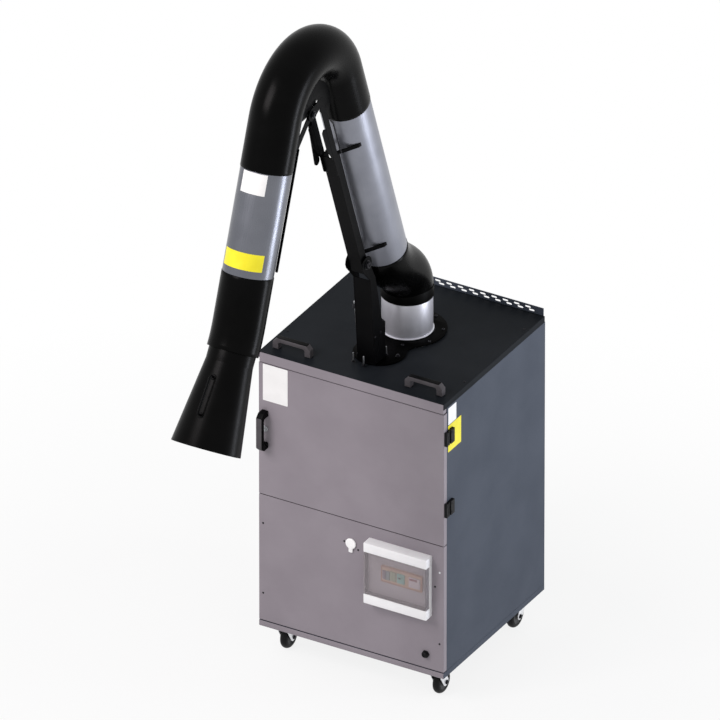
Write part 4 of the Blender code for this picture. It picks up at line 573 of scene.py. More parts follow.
# %% [markdown]
# ## Ducts and collar
#
# The straight parts of the arm are thin tubes. A lathe makes them from the outline of their wall alone, so
# they are open at both ends and have a real edge. The solids are drawn with 28 sides, which shows on a
# bright round metal, so these smooth ones take their place. A rolled tube is closed by a folded seam, which
# is kept on the side that faces the arm's steel channel.

# %% The ducts and the collar
DUCT_RADIUS, DUCT_WALL = 78 * MM, 1.5 * MM
LOWER_DUCT_Y, LOWER_DUCT_LOW, LOWER_DUCT_HIGH = 124 * MM, -63 * MM, 587 * MM
UPPER_DUCT_Y, UPPER_DUCT_LOW, UPPER_DUCT_HIGH = -190 * MM, -474 * MM, -153 * MM
COLLAR_LOW, COLLAR_HIGH = 6.8 * MM, 128 * MM


def open_tube(radius, wall, low, high, sides=96):
    """A tube's wall turned about Z, open at both ends, its four edges eased."""
    outline = eased([(radius, low), (radius, high), (radius - wall, high), (radius - wall, low)], 0.4 * wall)
    return lathe(outline, sides, ring=True)


def folded_seam(y, low, high):
    """A flat bead along a tube's length: 8 mm wide, standing 1 mm proud."""
    rise = np.linspace(low, high, 3)
    return sweep(np.stack([0 * rise, y + 0 * rise, rise], axis=-1), rounded(8 * MM, 2 * MM, 0.6 * MM))


def duct(y, low, high, seam_y):
    """A duct about the line at y, with its folded seam at seam_y."""
    tube = placed(open_tube(DUCT_RADIUS, DUCT_WALL, low, high), at(0, y, 0))
    return together(tube, folded_seam(seam_y, low + 2 * MM, high - 2 * MM))


lower_tube = duct(LOWER_DUCT_Y, LOWER_DUCT_LOW, LOWER_DUCT_HIGH, LOWER_DUCT_Y - DUCT_RADIUS)
piece("lower_duct_tube", placed(lower_tube, ARM), LOWER_DUCT_METAL, "lower_arm", "lower_duct")

upper_tube = duct(UPPER_DUCT_Y, UPPER_DUCT_LOW, UPPER_DUCT_HIGH, UPPER_DUCT_Y + DUCT_RADIUS)
STRAP_X, STRAP_HALF, STRAP_SHEET = 57 * MM, 8 * MM, 3 * MM  # two flat straps carry the hood's pivot
STRAP_LOW, STRAP_HIGH = -669 * MM, -450 * MM
strap_foot = STRAP_LOW - STRAP_HALF
strap_outline = eased([(-STRAP_HALF, strap_foot), (STRAP_HALF, strap_foot), (STRAP_HALF, STRAP_HIGH),
                       (-STRAP_HALF, STRAP_HIGH)], 5 * MM)
straps = placed(pressed([strap_outline], STRAP_SHEET), on_side(STRAP_X, UPPER_DUCT_Y),
                on_side(-STRAP_X - STRAP_SHEET, UPPER_DUCT_Y))
piece("upper_duct_tube", placed(together(upper_tube, straps), FOREARM), UPPER_DUCT_METAL, "upper_arm",
      "upper_duct")

FLANGE_IN, FLANGE_OUT = DUCT_RADIUS - 0.5 * MM, DUCT_RADIUS + 3.5 * MM
flange_outline = eased([(FLANGE_IN, COLLAR_LOW), (FLANGE_OUT, COLLAR_LOW), (FLANGE_OUT, COLLAR_LOW + 2 * MM),
                        (FLANGE_IN, COLLAR_LOW + 4 * MM)], 0.6 * MM)
collar_flange = lathe(flange_outline, 96, ring=True)
collar = together(open_tube(DUCT_RADIUS, DUCT_WALL, COLLAR_LOW, COLLAR_HIGH), collar_flange)
piece("collar_tube", placed(collar, FOOT), COLLAR_METAL, "arm_base", "collar")

# %% [markdown]
# ## The three hoses
#
# Each hose is a tube of coated fabric over a spring, which is stiff enough to keep its round shape and bends
# only where a joint is. It is made by carrying a circle along a path: straight for a little at both ends,
# where it sits over a duct, and on a smooth curve between, with many rings close together.


# %% Paths and hoses
HOSE_RADIUS, HOSE_WALL, HOSE_LIP = 79.5 * MM, 3 * MM, 1 * MM


def curve(a, b, c, d, steps):
    """A cubic curve from a to d: (1-t)^3 a + 3 (1-t)^2 t b + 3 (1-t) t^2 c + t^3 d."""
    t = np.linspace(0, 1, steps)[:, None]
    return (1 - t) ** 3 * a + 3 * (1 - t) ** 2 * t * b + 3 * (1 - t) * t ** 2 * c + t ** 3 * d


def hose(path, radius=HOSE_RADIUS, wall=HOSE_WALL, sides=80):
    """Circles square to the path, out along it at the radius and back inside its wall, with rounded lips."""
    start, end = path[0] + HOSE_LIP * unit(path[1] - path[0]), path[-1] + HOSE_LIP * unit(path[-2] - path[-1])
    path = np.concatenate([path[:1], start[None], path[1:-1], end[None], path[-1:]])
    way = unit(np.gradient(path, axis=0))
    across = np.broadcast_to((1.0, 0.0, 0.0), way.shape)
    angle = np.arange(sides) * 2 * math.pi / sides
    ring = np.cos(angle)[:, None] * across[:, None] + np.sin(angle)[:, None] * np.cross(way, across)[:, None]
    reach = np.full(len(path), radius)
    reach[[0, -1]] -= 0.7 * HOSE_LIP
    outer = path[:, None] + reach[:, None, None] * ring
    inner = path[:, None] + (radius - wall) * ring
    return gridded(np.concatenate([outer, inner[::-1]]), wrap_rows=True)


UP = np.array([0, 0, 1.0])
LEAD = 12 * MM
ALONG_ARM = moved([UP], ARM)[0] - moved([0 * UP], ARM)[0]
foot_start = moved([(0, 0, COLLAR_HIGH + 0.3 * MM)], FOOT)[0]
foot_end = moved([(0, LOWER_DUCT_Y, LOWER_DUCT_LOW - 0.3 * MM)], ARM)[0]
bend_start, bend_end = foot_start + UP * LEAD, foot_end - ALONG_ARM * LEAD
ease = 0.42 * np.linalg.norm(bend_end - bend_start)
foot_bend = curve(bend_start, bend_start + UP * ease, bend_end - ALONG_ARM * ease, bend_end, 72)
foot_path = np.concatenate([foot_start[None], foot_bend, foot_end[None]])
foot_hose = piece("foot_hose", hose(foot_path), HOSE_BLACK, None, "base_hose")
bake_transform(foot_hose)

BEND_RADIUS, BEND_ANGLE, BEND_Y, BEND_Z = 190 * MM, math.radians(140), -66 * MM, 740 * MM
turn = np.linspace(0, BEND_ANGLE, 84)
arch = np.stack([0 * turn, BEND_Y + BEND_RADIUS * np.cos(turn), BEND_Z + BEND_RADIUS * np.sin(turn)], axis=-1)
rise = np.linspace(LOWER_DUCT_HIGH + 0.3 * MM, BEND_Z, 16)[:-1]
leg_up = np.stack([0 * rise, BEND_Y + BEND_RADIUS + 0 * rise, rise], axis=-1)
leg_way = np.array([0, -math.sin(BEND_ANGLE), math.cos(BEND_ANGLE)])
leg_down = arch[-1] + np.linspace(0, BEND_Z - LOWER_DUCT_HIGH - 0.3 * MM, 16)[1:, None] * leg_way
elbow_path = moved(np.concatenate([leg_up, arch, leg_down]), ARM)
elbow_hose = piece("elbow_hose", hose(elbow_path), HOSE_BLACK, None, "top_hose")
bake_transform(elbow_hose)

HOOD_BEND = math.radians(12)
LEAVING = np.array([0, -math.sin(HOOD_BEND), -math.cos(HOOD_BEND)])
TO_PIVOT, BEND_HALF = 195, 46  # in mm, from the duct's end to the pivot, and from the pivot to the bend's ends
hood_start = np.array([0, UPPER_DUCT_Y, UPPER_DUCT_LOW - 0.3 * MM])
hood_pivot = np.array([0, UPPER_DUCT_Y, STRAP_LOW])
hood_end = hood_pivot + LEAVING * BEND_HALF * MM
above = hood_start - UP * (TO_PIVOT - BEND_HALF) * MM
below = hood_end - LEAVING * LEAD
straight = np.linspace(hood_start, above, 14)[:-1]
hood_bend = curve(above, above + (hood_pivot - above) * 2 / 3,
                  below + (hood_pivot - below) * 2 / 3, below, 40)
hood_path = moved(np.concatenate([straight, hood_bend, hood_end[None]]), FOREARM)
hood_hose = piece("hood_bend_hose", hose(hood_path), HOSE_BLACK, None, "hood_hose")
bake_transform(hood_hose)

cuff = open_tube(HOSE_RADIUS + 1.3 * MM, 1.2 * MM, COLLAR_HIGH - 3 * MM, COLLAR_HIGH + 33 * MM)
piece("foot_hose_cuff", placed(cuff, FOOT), CUFF_BLACK, "arm_base")

# %% [markdown]
# ## The hood
#
# The hood is one spun cone of thin steel with a short straight sleeve that turns on the neck. The lathe gets
# the outline of its wall: down the outside, round the mouth's edge and up the inside. The grip is a bent rod
# whose two legs stand square on the cone, on round feet.

# %% Hood and grip
SLEEVE_RADIUS, SLEEVE_INNER, SLEEVE_LOW, SLEEVE_HIGH = 72.24 * MM, 69.74 * MM, -82.3 * MM, -46.3 * MM
MOUTH_RADIUS, MOUTH_Z, HOOD_WALL = 107.5 * MM, -347 * MM, 2.5 * MM
hood_wall = eased([(SLEEVE_RADIUS, SLEEVE_HIGH), (SLEEVE_RADIUS, SLEEVE_LOW), (MOUTH_RADIUS, MOUTH_Z),
                   (MOUTH_RADIUS - HOOD_WALL, MOUTH_Z), (SLEEVE_INNER, SLEEVE_LOW - 1 * MM),
                   (SLEEVE_INNER, SLEEVE_HIGH)], np.array([0.8, 2, 0.9, 0.9, 2, 0.8]) * MM)
piece("hood_cone", placed(lathe(hood_wall, 128, ring=True), HOOD), HOOD_BLACK, "hood", "hood")

CONE = np.array([MOUTH_RADIUS - SLEEVE_RADIUS, MOUTH_Z - SLEEVE_LOW])
OUTWARD = unit([-CONE[1], CONE[0]])
GRIP_RADIUS, GRIP_REACH = 3.6 * MM, 23 * MM


def on_cone(share, stand_off):
    """A place on the hood's front: part of the way down the cone, and off it along its normal."""
    radius, z = np.array([SLEEVE_RADIUS, SLEEVE_LOW]) + share * CONE + stand_off * OUTWARD
    return np.array([0, -radius, z])


GRIP_TOP, GRIP_FOOT = 0.19, 0.64
grip_corners = [on_cone(share, stand_off) for share, stand_off in (
    (GRIP_TOP, -1 * MM), (GRIP_TOP, GRIP_REACH), (GRIP_FOOT, GRIP_REACH), (GRIP_FOOT, -1 * MM))]
grip_rod = sweep(eased(grip_corners, 9 * MM, 8, closed=False), circle(GRIP_RADIUS, 20))
foot_outline = np.array([(0, -1), (9, -1), (9, 1.6), (8, 2.6), (0, 3.2)]) * MM
foot_places = [at(*on_cone(share, 0), facing=(0, -OUTWARD[0], OUTWARD[1])) for share in (GRIP_TOP, GRIP_FOOT)]
grip_feet = placed(lathe(foot_outline, 28), *foot_places)
piece("hood_grip", placed(together(grip_rod, grip_feet), HOOD), GRIP_BLACK, "hood", "hood_handle")

# %% [markdown]
# ## The arm's foot
#
# The arm turns on a plate cut from 3 mm steel: a round disc with a lobe in front that carries the bracket.
# Its outline is four arcs, of which two small hollow ones lead from the disc into the lobe. Where two circles
# touch, the line between their middles is as long as their radii together, so the arcs meet without a kink.

# %% Swivel plate
DISC_RADIUS, LOBE_RADIUS, LOBE_FORWARD, WAIST_RADIUS = 121 * MM, 82 * MM, 165 * MM, 40 * MM
PLATE_LOW, PLATE_SHEET, PLATE_BORE = 3.5 * MM, 3 * MM, 78.5 * MM


def arc(centre, radius, start, end, steps):
    """Points on a circle from one angle to another."""
    angle = np.linspace(start, end, steps)
    return np.asarray(centre) + radius * np.stack([np.cos(angle), np.sin(angle)], axis=-1)


to_waist, waist_to_lobe = DISC_RADIUS + WAIST_RADIUS, LOBE_RADIUS + WAIST_RADIUS
waist_forward = (to_waist ** 2 - waist_to_lobe ** 2 + LOBE_FORWARD ** 2) / (2 * LOBE_FORWARD)
waist_side = math.sqrt(to_waist ** 2 - waist_forward ** 2)
disc_angle = math.atan2(-waist_forward, waist_side)
lobe_angle = math.atan2(LOBE_FORWARD - waist_forward, waist_side)
plate_outline = np.concatenate([
    arc((0, 0), DISC_RADIUS, disc_angle, math.pi - disc_angle, 90),
    arc((-waist_side, -waist_forward), WAIST_RADIUS, -disc_angle, -lobe_angle, 18)[1:],
    arc((0, -LOBE_FORWARD), LOBE_RADIUS, math.pi - lobe_angle, 2 * math.pi + lobe_angle, 60)[1:],
    arc((waist_side, -waist_forward), WAIST_RADIUS, math.pi + lobe_angle, math.pi + disc_angle, 18)[1:-1]])
plate_form = pressed([plate_outline, circle(PLATE_BORE, 96)], PLATE_SHEET, 0.5 * MM)
plate_form = placed(plate_form, at(0, 0, PLATE_LOW))
piece("swivel_base_plate", placed(plate_form, FOOT), PLATE_BLACK, "arm_base", "swivel_plate")

# %% [markdown]
# Bolts are the same few shapes again: a thin washer, and a six-sided head whose top corners are turned off.
# The head is an outline with six sides, pressed to its height with a soft edge. One bolt is made at the
# origin and put wherever it is needed.


# %% Bolts and screws
def hexagon(flats):
    """Six corners, as far apart across the flats as said."""
    return circle(flats / math.sqrt(3), 6)


def bolt(flats, head, washer):
    """A hexagon head on its washer, standing on the XY plane."""
    washer_form = pressed([circle(washer, 28)], 1.2 * MM, 0.3 * MM)
    return together(washer_form, placed(pressed([hexagon(flats)], head, 0.8 * MM), at(0, 0, 1.1 * MM)))


def socket_screw(radius, height):
    """A domed head with a round socket: its outline climbs the dome and drops into the socket."""
    outline = np.array([(0, -0.2), (1, -0.2), (1, 0.3), (0.9, 0.7), (0.62, 1), (0.46, 1), (0.4, 0.4),
                        (0, 0.4)])
    return lathe(outline * [radius, height], 20)


PLATE_TOP = PLATE_LOW + PLATE_SHEET
SCREW_CIRCLE, LOBE_BOLT_X = 109 * MM, 62 * MM
circle_angles = (np.arange(8) + 0.5) * math.pi / 4
screw_spots = [at(SCREW_CIRCLE * math.cos(a), SCREW_CIRCLE * math.sin(a), PLATE_TOP, roll=a)
               for a in circle_angles]
plate_screws = placed(socket_screw(5 * MM, 3 * MM), *screw_spots)
lobe_bolts = placed(bolt(9 * MM, 5 * MM, 7 * MM),
                    *[at(x, -LOBE_FORWARD, PLATE_TOP) for x in (-LOBE_BOLT_X, LOBE_BOLT_X)])
piece("plate_screws", placed(plate_screws, FOOT), DARK_BOLT, "arm_base")
piece("lobe_bolts", placed(lobe_bolts, FOOT), DARK_BOLT, "arm_base")

# %% [markdown]
# Beside the bracket stand slim rods of dull zinc: two stay rods on its left and a few upright threaded
# pins that clamp its foot. The rods are circles swept along a line, each with a domed cap at its top, and
# the pins are lathed. Two thin ribs stiffen the bracket's right cheek.


# %% Stay rods, pins and ribs
def pin(radius, height):
    """An upright rod with a domed end."""
    quarter = np.linspace(0, math.pi / 2, 6)
    dome = [(radius * math.cos(a), height - radius * (1 - math.sin(a))) for a in quarter]
    return lathe([(0, 0), (radius, 0), *dome], 20)


stay_low, stay_high = (np.array(corner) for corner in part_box("bracket_stay"))
stay_x = (stay_low[0] + stay_high[0]) / 2
stay_foot_y = (FOOT.translation + Vector((0, -216 * MM, 0))).y
stay_top_y = (FOOT.translation + Vector((0, -240 * MM, 0))).y
STAY_RISE = stay_high[2] - 8 * MM
rods = []
for side in (-8.5 * MM, 8.5 * MM):
    low = np.array([stay_x, stay_foot_y + side, stay_low[2] + 4 * MM])
    high = np.array([stay_x, stay_top_y + side, STAY_RISE])
    rods.append(sweep(np.linspace(low, high, 8), circle(2.8 * MM, 16)))
    rods.append(placed(pin(4.2 * MM, 9 * MM), at(*(high - [0, 0, 6 * MM]))))
clamp_blocks = [block((stay_x - 5.5 * MM, y - 14 * MM, z - 6 * MM),
                      (stay_x + 6.5 * MM, y + 14 * MM, z + 6 * MM), 1.5 * MM)
                for y, z in ((stay_foot_y, stay_low[2] + 7 * MM), (stay_top_y, STAY_RISE - 16 * MM))]
piece("stay_rods", together(*rods), PALE_ROD, "arm_base", "bracket_stay")
piece("stay_blocks", together(*clamp_blocks), DARK_BOLT, "arm_base")

FOOT_PINS = [(-38, -258, 32), (0, -262, 32), (27, -174, 30)]  # x, y and height in mm
pins = [placed(pin(2.6 * MM, height * MM), at(x * MM, y * MM, PLATE_TOP)) for x, y, height in FOOT_PINS]
nuts = [placed(bolt(8 * MM, 4 * MM, 6 * MM), at(x * MM, y * MM, PLATE_TOP)) for x, y, _ in FOOT_PINS]
piece("foot_pins", placed(together(*pins), FOOT), PALE_ROD, "arm_base")
piece("foot_pin_nuts", placed(together(*nuts), FOOT), DARK_BOLT, "arm_base")

CHEEK_X = 30 * MM
RIB_ENDS = [[(-246, 104), (-252, 60)], [(-214, 106), (-238, 30)]]  # y and z in mm, at the top and the foot
ribs, screw_places = [], []
for ends in RIB_ENDS:
    top, foot = (np.array([CHEEK_X, y * MM, z * MM]) for y, z in ends)
    ribs.append(sweep(np.linspace(foot, top, 6), rounded(3 * MM, 3 * MM, 1 * MM), side=(1, 0, 0)))
    screw_places.append(at(*top, facing=(1, 0, 0)))
rib_screws = placed(placed(socket_screw(4 * MM, 3 * MM), *screw_places), FOOT)
piece("cheek_ribs", placed(together(*ribs), FOOT), FRAME_BLACK, "arm_base")
piece("cheek_rib_screws", rib_screws, DARK_BOLT, "arm_base")

# %% [markdown]
# ## Pins and clamps of the arm
#
# The shoulder turns on a bolt with a turned cap at each end, and the elbow has the same in a smaller size.
# The lower duct lies in V-shaped clamps: a flat bar that is bolted in the open channel, runs out at 45
# degrees to touch the tube, and ends in a small hook. A sweep carries the bar's section along that path.


# %% Shoulder and elbow bolts
def caps(radius, height, face):
    """A washer and a turned cap with a small socket, on both faces of an arm part, looking outwards."""
    cap = lathe([(0, 0), (1.25 * radius, 0), (1.25 * radius, 1.5 * MM), (radius, 1.6 * MM),
                 (radius, 0.7 * height), (0.8 * radius, height), (0.4 * radius, height),
                 (0.35 * radius, 0.7 * height), (0, 0.7 * height)], 36)
    return placed(cap, at(face, 0, 0, (1, 0, 0)), at(-face, 0, 0, (-1, 0, 0)))


SHOULDER_FACE, ELBOW_FACE = 30.3 * MM, 28.2 * MM
ELBOW_BOLT = leaning(JOINT["elbow_fold"], ARM_LEAN)
shoulder_shaft = placed(pin(8 * MM, 2 * SHOULDER_FACE), at(-SHOULDER_FACE, 0, 0, (1, 0, 0)))
shoulder_bolt = together(caps(12 * MM, 8.6 * MM, SHOULDER_FACE), shoulder_shaft)
piece("shoulder_bolt", placed(shoulder_bolt, ARM), DARK_BOLT, "arm_base", "shoulder_pin")
piece("elbow_bolt_caps", placed(caps(9 * MM, 6 * MM, ELBOW_FACE), ELBOW_BOLT), DARK_BOLT, "lower_arm")

# %% [markdown]
# Curved gussets stiffen both halves of the elbow. They line the hollow of the bend, each as a part of a
# ring about the bolt, one outside the other, so they pass each other when the arm unfolds. A small web
# joins the cheeks to the lower channel, and the upper channel's edges are folded out into narrow lips.

# %% Elbow gussets, web and lips
GUSSET_SHEET, GUSSET_REACH = 2.2 * MM, 105 * MM


def ring_part(inner, outer, start, end):
    """A flat part of a ring about the origin, between two angles in degrees."""
    start, end = math.radians(start), math.radians(end)
    return np.concatenate([arc((0, 0), outer, start, end, 40), arc((0, 0), inner, end, start, 24)])


def pair_of_sheets(outline, outer_x):
    """The outline pressed from sheet, once on each side of the arm, with its outer face at outer_x."""
    sheet = pressed([outline], GUSSET_SHEET, 0.5 * MM)
    return placed(sheet, on_side(outer_x - GUSSET_SHEET), on_side(-outer_x))


CHEEK_OUT, CHANNEL_OUT = 24.8 * MM, 19.8 * MM  # half the width over the lower and the upper pair
lower_gussets = pair_of_sheets(ring_part(46 * MM, GUSSET_REACH, -38, 104), CHEEK_OUT)
upper_gussets = pair_of_sheets(ring_part(24 * MM, GUSSET_REACH, 66, 200), CHANNEL_OUT)
piece("elbow_gusset", placed(lower_gussets, ELBOW_BOLT), FRAME_BLACK, "lower_arm")
piece("forearm_gusset", placed(upper_gussets, FOREARM), FRAME_BLACK, "upper_arm")

web_outline = eased([(-4, 484), (-4, 612), (-34, 638), (-44, 630), (-42, 548), (-22, 484)], 5) * MM
piece("channel_web", placed(pair_of_sheets(web_outline, CHEEK_OUT), ARM), FRAME_BLACK, "lower_arm")

lip = pressed([rounded(9 * MM, 382 * MM, 3 * MM)], 2.5 * MM, 0.8 * MM)
lip_places = [on_front(x, -51 * MM, -291 * MM) for x in (-24 * MM, 24 * MM)]
piece("upper_channel_lips", placed(placed(lip, *lip_places), FOREARM), FRAME_BLACK, "upper_arm")

# %% Duct clamps
BAR_TALL, BAR_THICK = 16 * MM, 3 * MM
SLANT = LOWER_DUCT_Y - (DUCT_RADIUS + 0.5 * MM + BAR_THICK / 2) * math.sqrt(2)
FLAT, TOUCH, HOOK = 8 * MM, 57 * MM, 11 * MM  # half the flat middle, where the bar leaves the tube, the hook
right_half = [(TOUCH + 4 * MM, TOUCH + SLANT + HOOK), (TOUCH, TOUCH + SLANT), (FLAT, FLAT + SLANT)]
bar_path = right_half + [(-x, y) for x, y in right_half[::-1]]
bar_path = eased(bar_path, np.array([0, 6, 7, 7, 6, 0]) * MM, 6, closed=False)
bar_path = np.column_stack([bar_path, 0 * bar_path[:, 0]])
bar = sweep(bar_path, rounded(BAR_TALL, BAR_THICK, 1.2 * MM), side=(0, 0, 1))
clamp_bolt = placed(bolt(10 * MM, 6 * MM, 7 * MM), at(0, FLAT + SLANT - BAR_THICK / 2, 0, (0, -1, 0)))
CLAMP_HEIGHTS = {"duct_clamp_lower": 28 * MM, "duct_clamp_upper": 473 * MM}
for name, height in CLAMP_HEIGHTS.items():
    clamp = placed(together(bar, clamp_bolt), at(0, 0, height))
    piece(name + "_bar", placed(clamp, ARM), FRAME_BLACK, "lower_arm", name)
balance_path = np.array([(18, 30, 466), (18, 27, 480), (18, 26, 600), (21, 10, 640)]) * MM
balance_rod = sweep(eased(balance_path, 12 * MM, 6, closed=False), circle(2.5 * MM, 14))
piece("balance_rod", placed(balance_rod, ARM), DARK_BOLT, "lower_arm")

# %% [markdown]
# ## Handles
#
# The handles are bridges moulded in one piece: two feet, a bar, and chamfered corners between them. Seen
# from the side that is one flat outline, so the outline is pressed to the handle's width with a wide soft
# edge. Each carries a strip along its bar. The nylon is black, and grey is painted light on the faces that
# look forward: the lid's two are grey with a black strip on top, the door's is black with a grey strip on its
# front.

# %% Bridge handles
HANDLE_LENGTH, HANDLE_REACH, HANDLE_WIDTH = 130 * MM, 37.5 * MM, 22 * MM
HANDLE_BAR, HANDLE_FOOT, SHOULDER_Z, CHAMFER = 13 * MM, 20 * MM, 24 * MM, 13 * MM
half, inside, clear = HANDLE_LENGTH / 2, HANDLE_LENGTH / 2 - HANDLE_FOOT, HANDLE_REACH - HANDLE_BAR
bridge_outline = eased([(half, 0), (half, SHOULDER_Z), (half - CHAMFER, HANDLE_REACH),
                        (CHAMFER - half, HANDLE_REACH), (-half, SHOULDER_Z), (-half, 0), (-inside, 0),
                        (-inside, clear), (inside, clear), (inside, 0)],
                       np.array([1, 6, 6, 6, 6, 1, 1, 7, 7, 1]) * MM, 5)
bridge = placed(pressed([bridge_outline], HANDLE_WIDTH, 2.2 * MM, 4), at(0, 0, -HANDLE_WIDTH / 2))
strip = placed(pressed([rounded(104 * MM, 18 * MM, 2 * MM, 4)], 1.6 * MM, 0.7 * MM),
               laid((0, HANDLE_REACH - 0.5 * MM, 0), (1, 0, 0), (0, 0, -1)))


def box_middle(name):
    """The middle and the two corners of a solid's box."""
    low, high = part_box(name)
    return (Vector(low) + Vector(high)) / 2, Vector(low), Vector(high)


# Lid handles: a grey body of painted light, with a black strip on top in the nylon's own black.
for side in ("left", "right"):
    middle, low, high = box_middle("lid_handle_" + side)
    spot = on_front(middle.x, middle.y, low.z)
    piece(f"lid_bridge_{side}", placed(bridge, spot), LIT_HANDLE_GREY, "cabinet", "lid_handle_" + side)
    piece(f"lid_bridge_strip_{side}", placed(strip, spot), GRIP_BLACK, "cabinet")
# Door handle: a black body, with a grey strip of painted light on its forward face.
middle, low, high = box_middle("door_handle")
spot = laid((middle.x, high.y, middle.z), (0, 0, 1), (0, -1, 0))
piece("door_bridge", placed(bridge, spot), GRIP_BLACK, "door", "door_handle")
piece("door_bridge_painted_light_strip", placed(strip, spot), LIT_HANDLE_GREY, "door")

# %% [markdown]
# ## Hinges, lock and screws
#
# The hinges keep their solids, and get the socket screws that hold them. The leaf's are small and far from
# the pin, so they pass the fixed block when the door opens. The lock's solid keeps its shaft and cam; a
# turned head with a raised key bit goes over it. On the lid and the fronts sit small screws, and narrow
# black strips just behind the joints between the front panels are painted shade in the gaps.

# %% Small fasteners on the cabinet
FRONT_Y, LEFT_X, RIGHT_X, LID_Z = CAD_FRONT, -325 * MM, 315 * MM, 1057.66 * MM
HINGE_SCREWS = {"leaf": ("door", 3 * MM, 1 * MM, -6.05 * MM),
                "block": ("cabinet", 3.6 * MM, 1.4 * MM, 2.5 * MM)}
for level in ("upper", "lower"):
    for part, (body, radius, height, shift) in HINGE_SCREWS.items():
        middle, low, high = box_middle(f"hinge_{part}_{level}")
        spots = [at(high.x, middle.y + shift, middle.z + rise, (1, 0, 0)) for rise in (-15 * MM, 15 * MM)]
        screws = placed(socket_screw(radius, height), *spots)
        piece(f"hinge_{part}_{level}_screws", screws, DARK_BOLT, body)

lock_x, _, lock_z = JOINT["door_lock_turn"]
lock_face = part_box("door_lock")[0][1]
lock_outline = np.array([(0, 3), (10.4, 3), (10.4, 1), (9.4, 0), (6, 0), (5.6, 0.7), (0, 0.7)]) * MM
key_bit = placed(pressed([circle(3.6 * MM, 3)], 1.4 * MM, 0.3 * MM), at(0, 0, -0.6 * MM))
lock_place = laid((lock_x, lock_face - 0.2 * MM, lock_z), (1, 0, 0), (0, 0, -1))
piece("lock_head", placed(together(lathe(lock_outline, 40), key_bit), lock_place), ZINC, "door_lock")

lid_spots = [at(x, y, LID_Z) for x in (LEFT_X + 15 * MM, RIGHT_X - 15 * MM)
             for y in (FRONT_Y + 148 * MM, FRONT_Y + 509 * MM)]
piece("lid_screws", placed(socket_screw(4 * MM, 2 * MM), *lid_spots), DARK_BOLT, "cabinet")
FRONT_SCREWS = [(-24, 483), (24, 466), (-306, 219), (306, 221), (290, 417), (-306, 463), (306, 470)]
FRONT_MIDDLE = -5  # in mm, where the front's middle line stands
front_spots = [at((x + FRONT_MIDDLE) * MM, FRONT_Y, z * MM, (0, -1, 0)) for x, z in FRONT_SCREWS]
front_screw = socket_screw(3.2 * MM, 1.6 * MM)
piece("front_screws", placed(front_screw, *front_spots[:-1]), DARK_BOLT, "cabinet")
piece("front_screw_bright", placed(front_screw, front_spots[-1]), CASTER_ZINC, "cabinet")

# Black strips just behind the gaps between the front panels: painted shade in the gaps.
SEAMS = [(1020.2 * MM, 1023.2 * MM), (561.2 * MM, 564.2 * MM), (121.4 * MM, 124.9 * MM)]
gap_shade_strips = [block((LEFT_X + 4 * MM, FRONT_Y + 2 * MM, low),
                     (RIGHT_X - 4 * MM, FRONT_Y + 6 * MM, high), 0.4 * MM) for low, high in SEAMS]
piece("gap_shade_strips", together(*gap_shade_strips), PLATE_BLACK, "cabinet")

# %% [markdown]
# The base pan is folded up from the same sheet as the sides and takes their painted shade, so a strip in the
# fronts' lit shade covers its front face: painted light. A thin pressed plate does it. The blank plates are
# thin vinyl, cut with rounded corners and left empty. On a duct such a film is bent round the tube: its width
# becomes an angle.

# %% Front strip and blank plates
# The pan's front face in the fronts' lit shade: painted light over the sides' painted shade.
_, pan_low, pan_high = box_middle("base_pan")
left, right = pan_low.x + 0.3 * MM, pan_high.x - 0.3 * MM
low, high = pan_low.z + 0.3 * MM, pan_high.z - 0.3 * MM
skirt = pressed([[(left, low), (right, low), (right, high), (left, high)]], 1.2 * MM, 0.5 * MM)
piece("front_skirt_strip", placed(skirt, on_front(0, FRONT_Y, 0)), MAUVE_GREY, "cabinet")


def sticker(width, height):
    """A thin film cut to a rectangle with rounded corners, lying on the XY plane about the origin."""
    return pressed([rounded(width, height, 2 * MM, 4)], 0.35 * MM, 0.12 * MM, 1)


GLUE = 0.05 * MM
door_sign_place = on_front(-268 * MM, FRONT_Y - GLUE, 956 * MM - 0.5 * MM)
piece("door_sign_plate", placed(sticker(86 * MM, 126 * MM), door_sign_place), WHITE_VINYL, "door")
SIDE_SIGNS = {"rating_plate": (48, 58, 222, 1002, WHITE_VINYL),
              "side_sign_plate": (78, 92, 236, 925, YELLOW_VINYL)}
for name, (width, height, y, z, finish) in SIDE_SIGNS.items():
    sign_place = on_side(RIGHT_X + GLUE, y * MM, z * MM)
    piece(name, placed(sticker(width * MM, height * MM), sign_place), finish, "cabinet")


def wrapped(form, y, radius, height, turn):
    """A flat form bent round a tube: its x becomes an angle, its y the height, and its z stands off."""
    points, faces = form
    angle = turn + points[:, 0] / radius
    reach = radius + points[:, 2]
    bent = np.stack([reach * np.sin(angle), y - reach * np.cos(angle), height + points[:, 1]], axis=-1)
    return welded(bent, faces)


FILM = 0.4 * MM
DUCT_SIGNS = {"duct_plate_white": (85, 65, -188, 0.03, WHITE_VINYL),
              "duct_plate_yellow": (145, 52, -425, 0.075, YELLOW_VINYL)}
for name, (width, height, middle_z, turn, finish) in DUCT_SIGNS.items():
    across = np.linspace(-width / 2, width / 2, 24) * MM
    flat_film = sweep(np.stack([across, 0 * across, 0 * across], -1), rounded(height * MM, FILM, 0.1 * MM, 1),
                      side=(0, 1, 0))
    bent_film = wrapped(flat_film, UPPER_DUCT_Y, DUCT_RADIUS + FILM / 2, middle_z * MM, turn)
    piece(name, placed(bent_film, FOREARM), finish, "upper_arm")

# %% [markdown]
# ## Control box
#
# The box is white ABS: a shallow base on the panel, with a thick band above and below the window. The base
# is a little smaller than the bands, because faces that lie in one plane flicker black. The clear flap
# between the bands is a tray with thin walls that swings on its left edge. Behind it a grey plate and walls
# painted dark as the shade in the window's recess frame the row of modules. The tray is a rounded rectangle
# whose rows go from the middle of its face out to the rim and back along the inside.

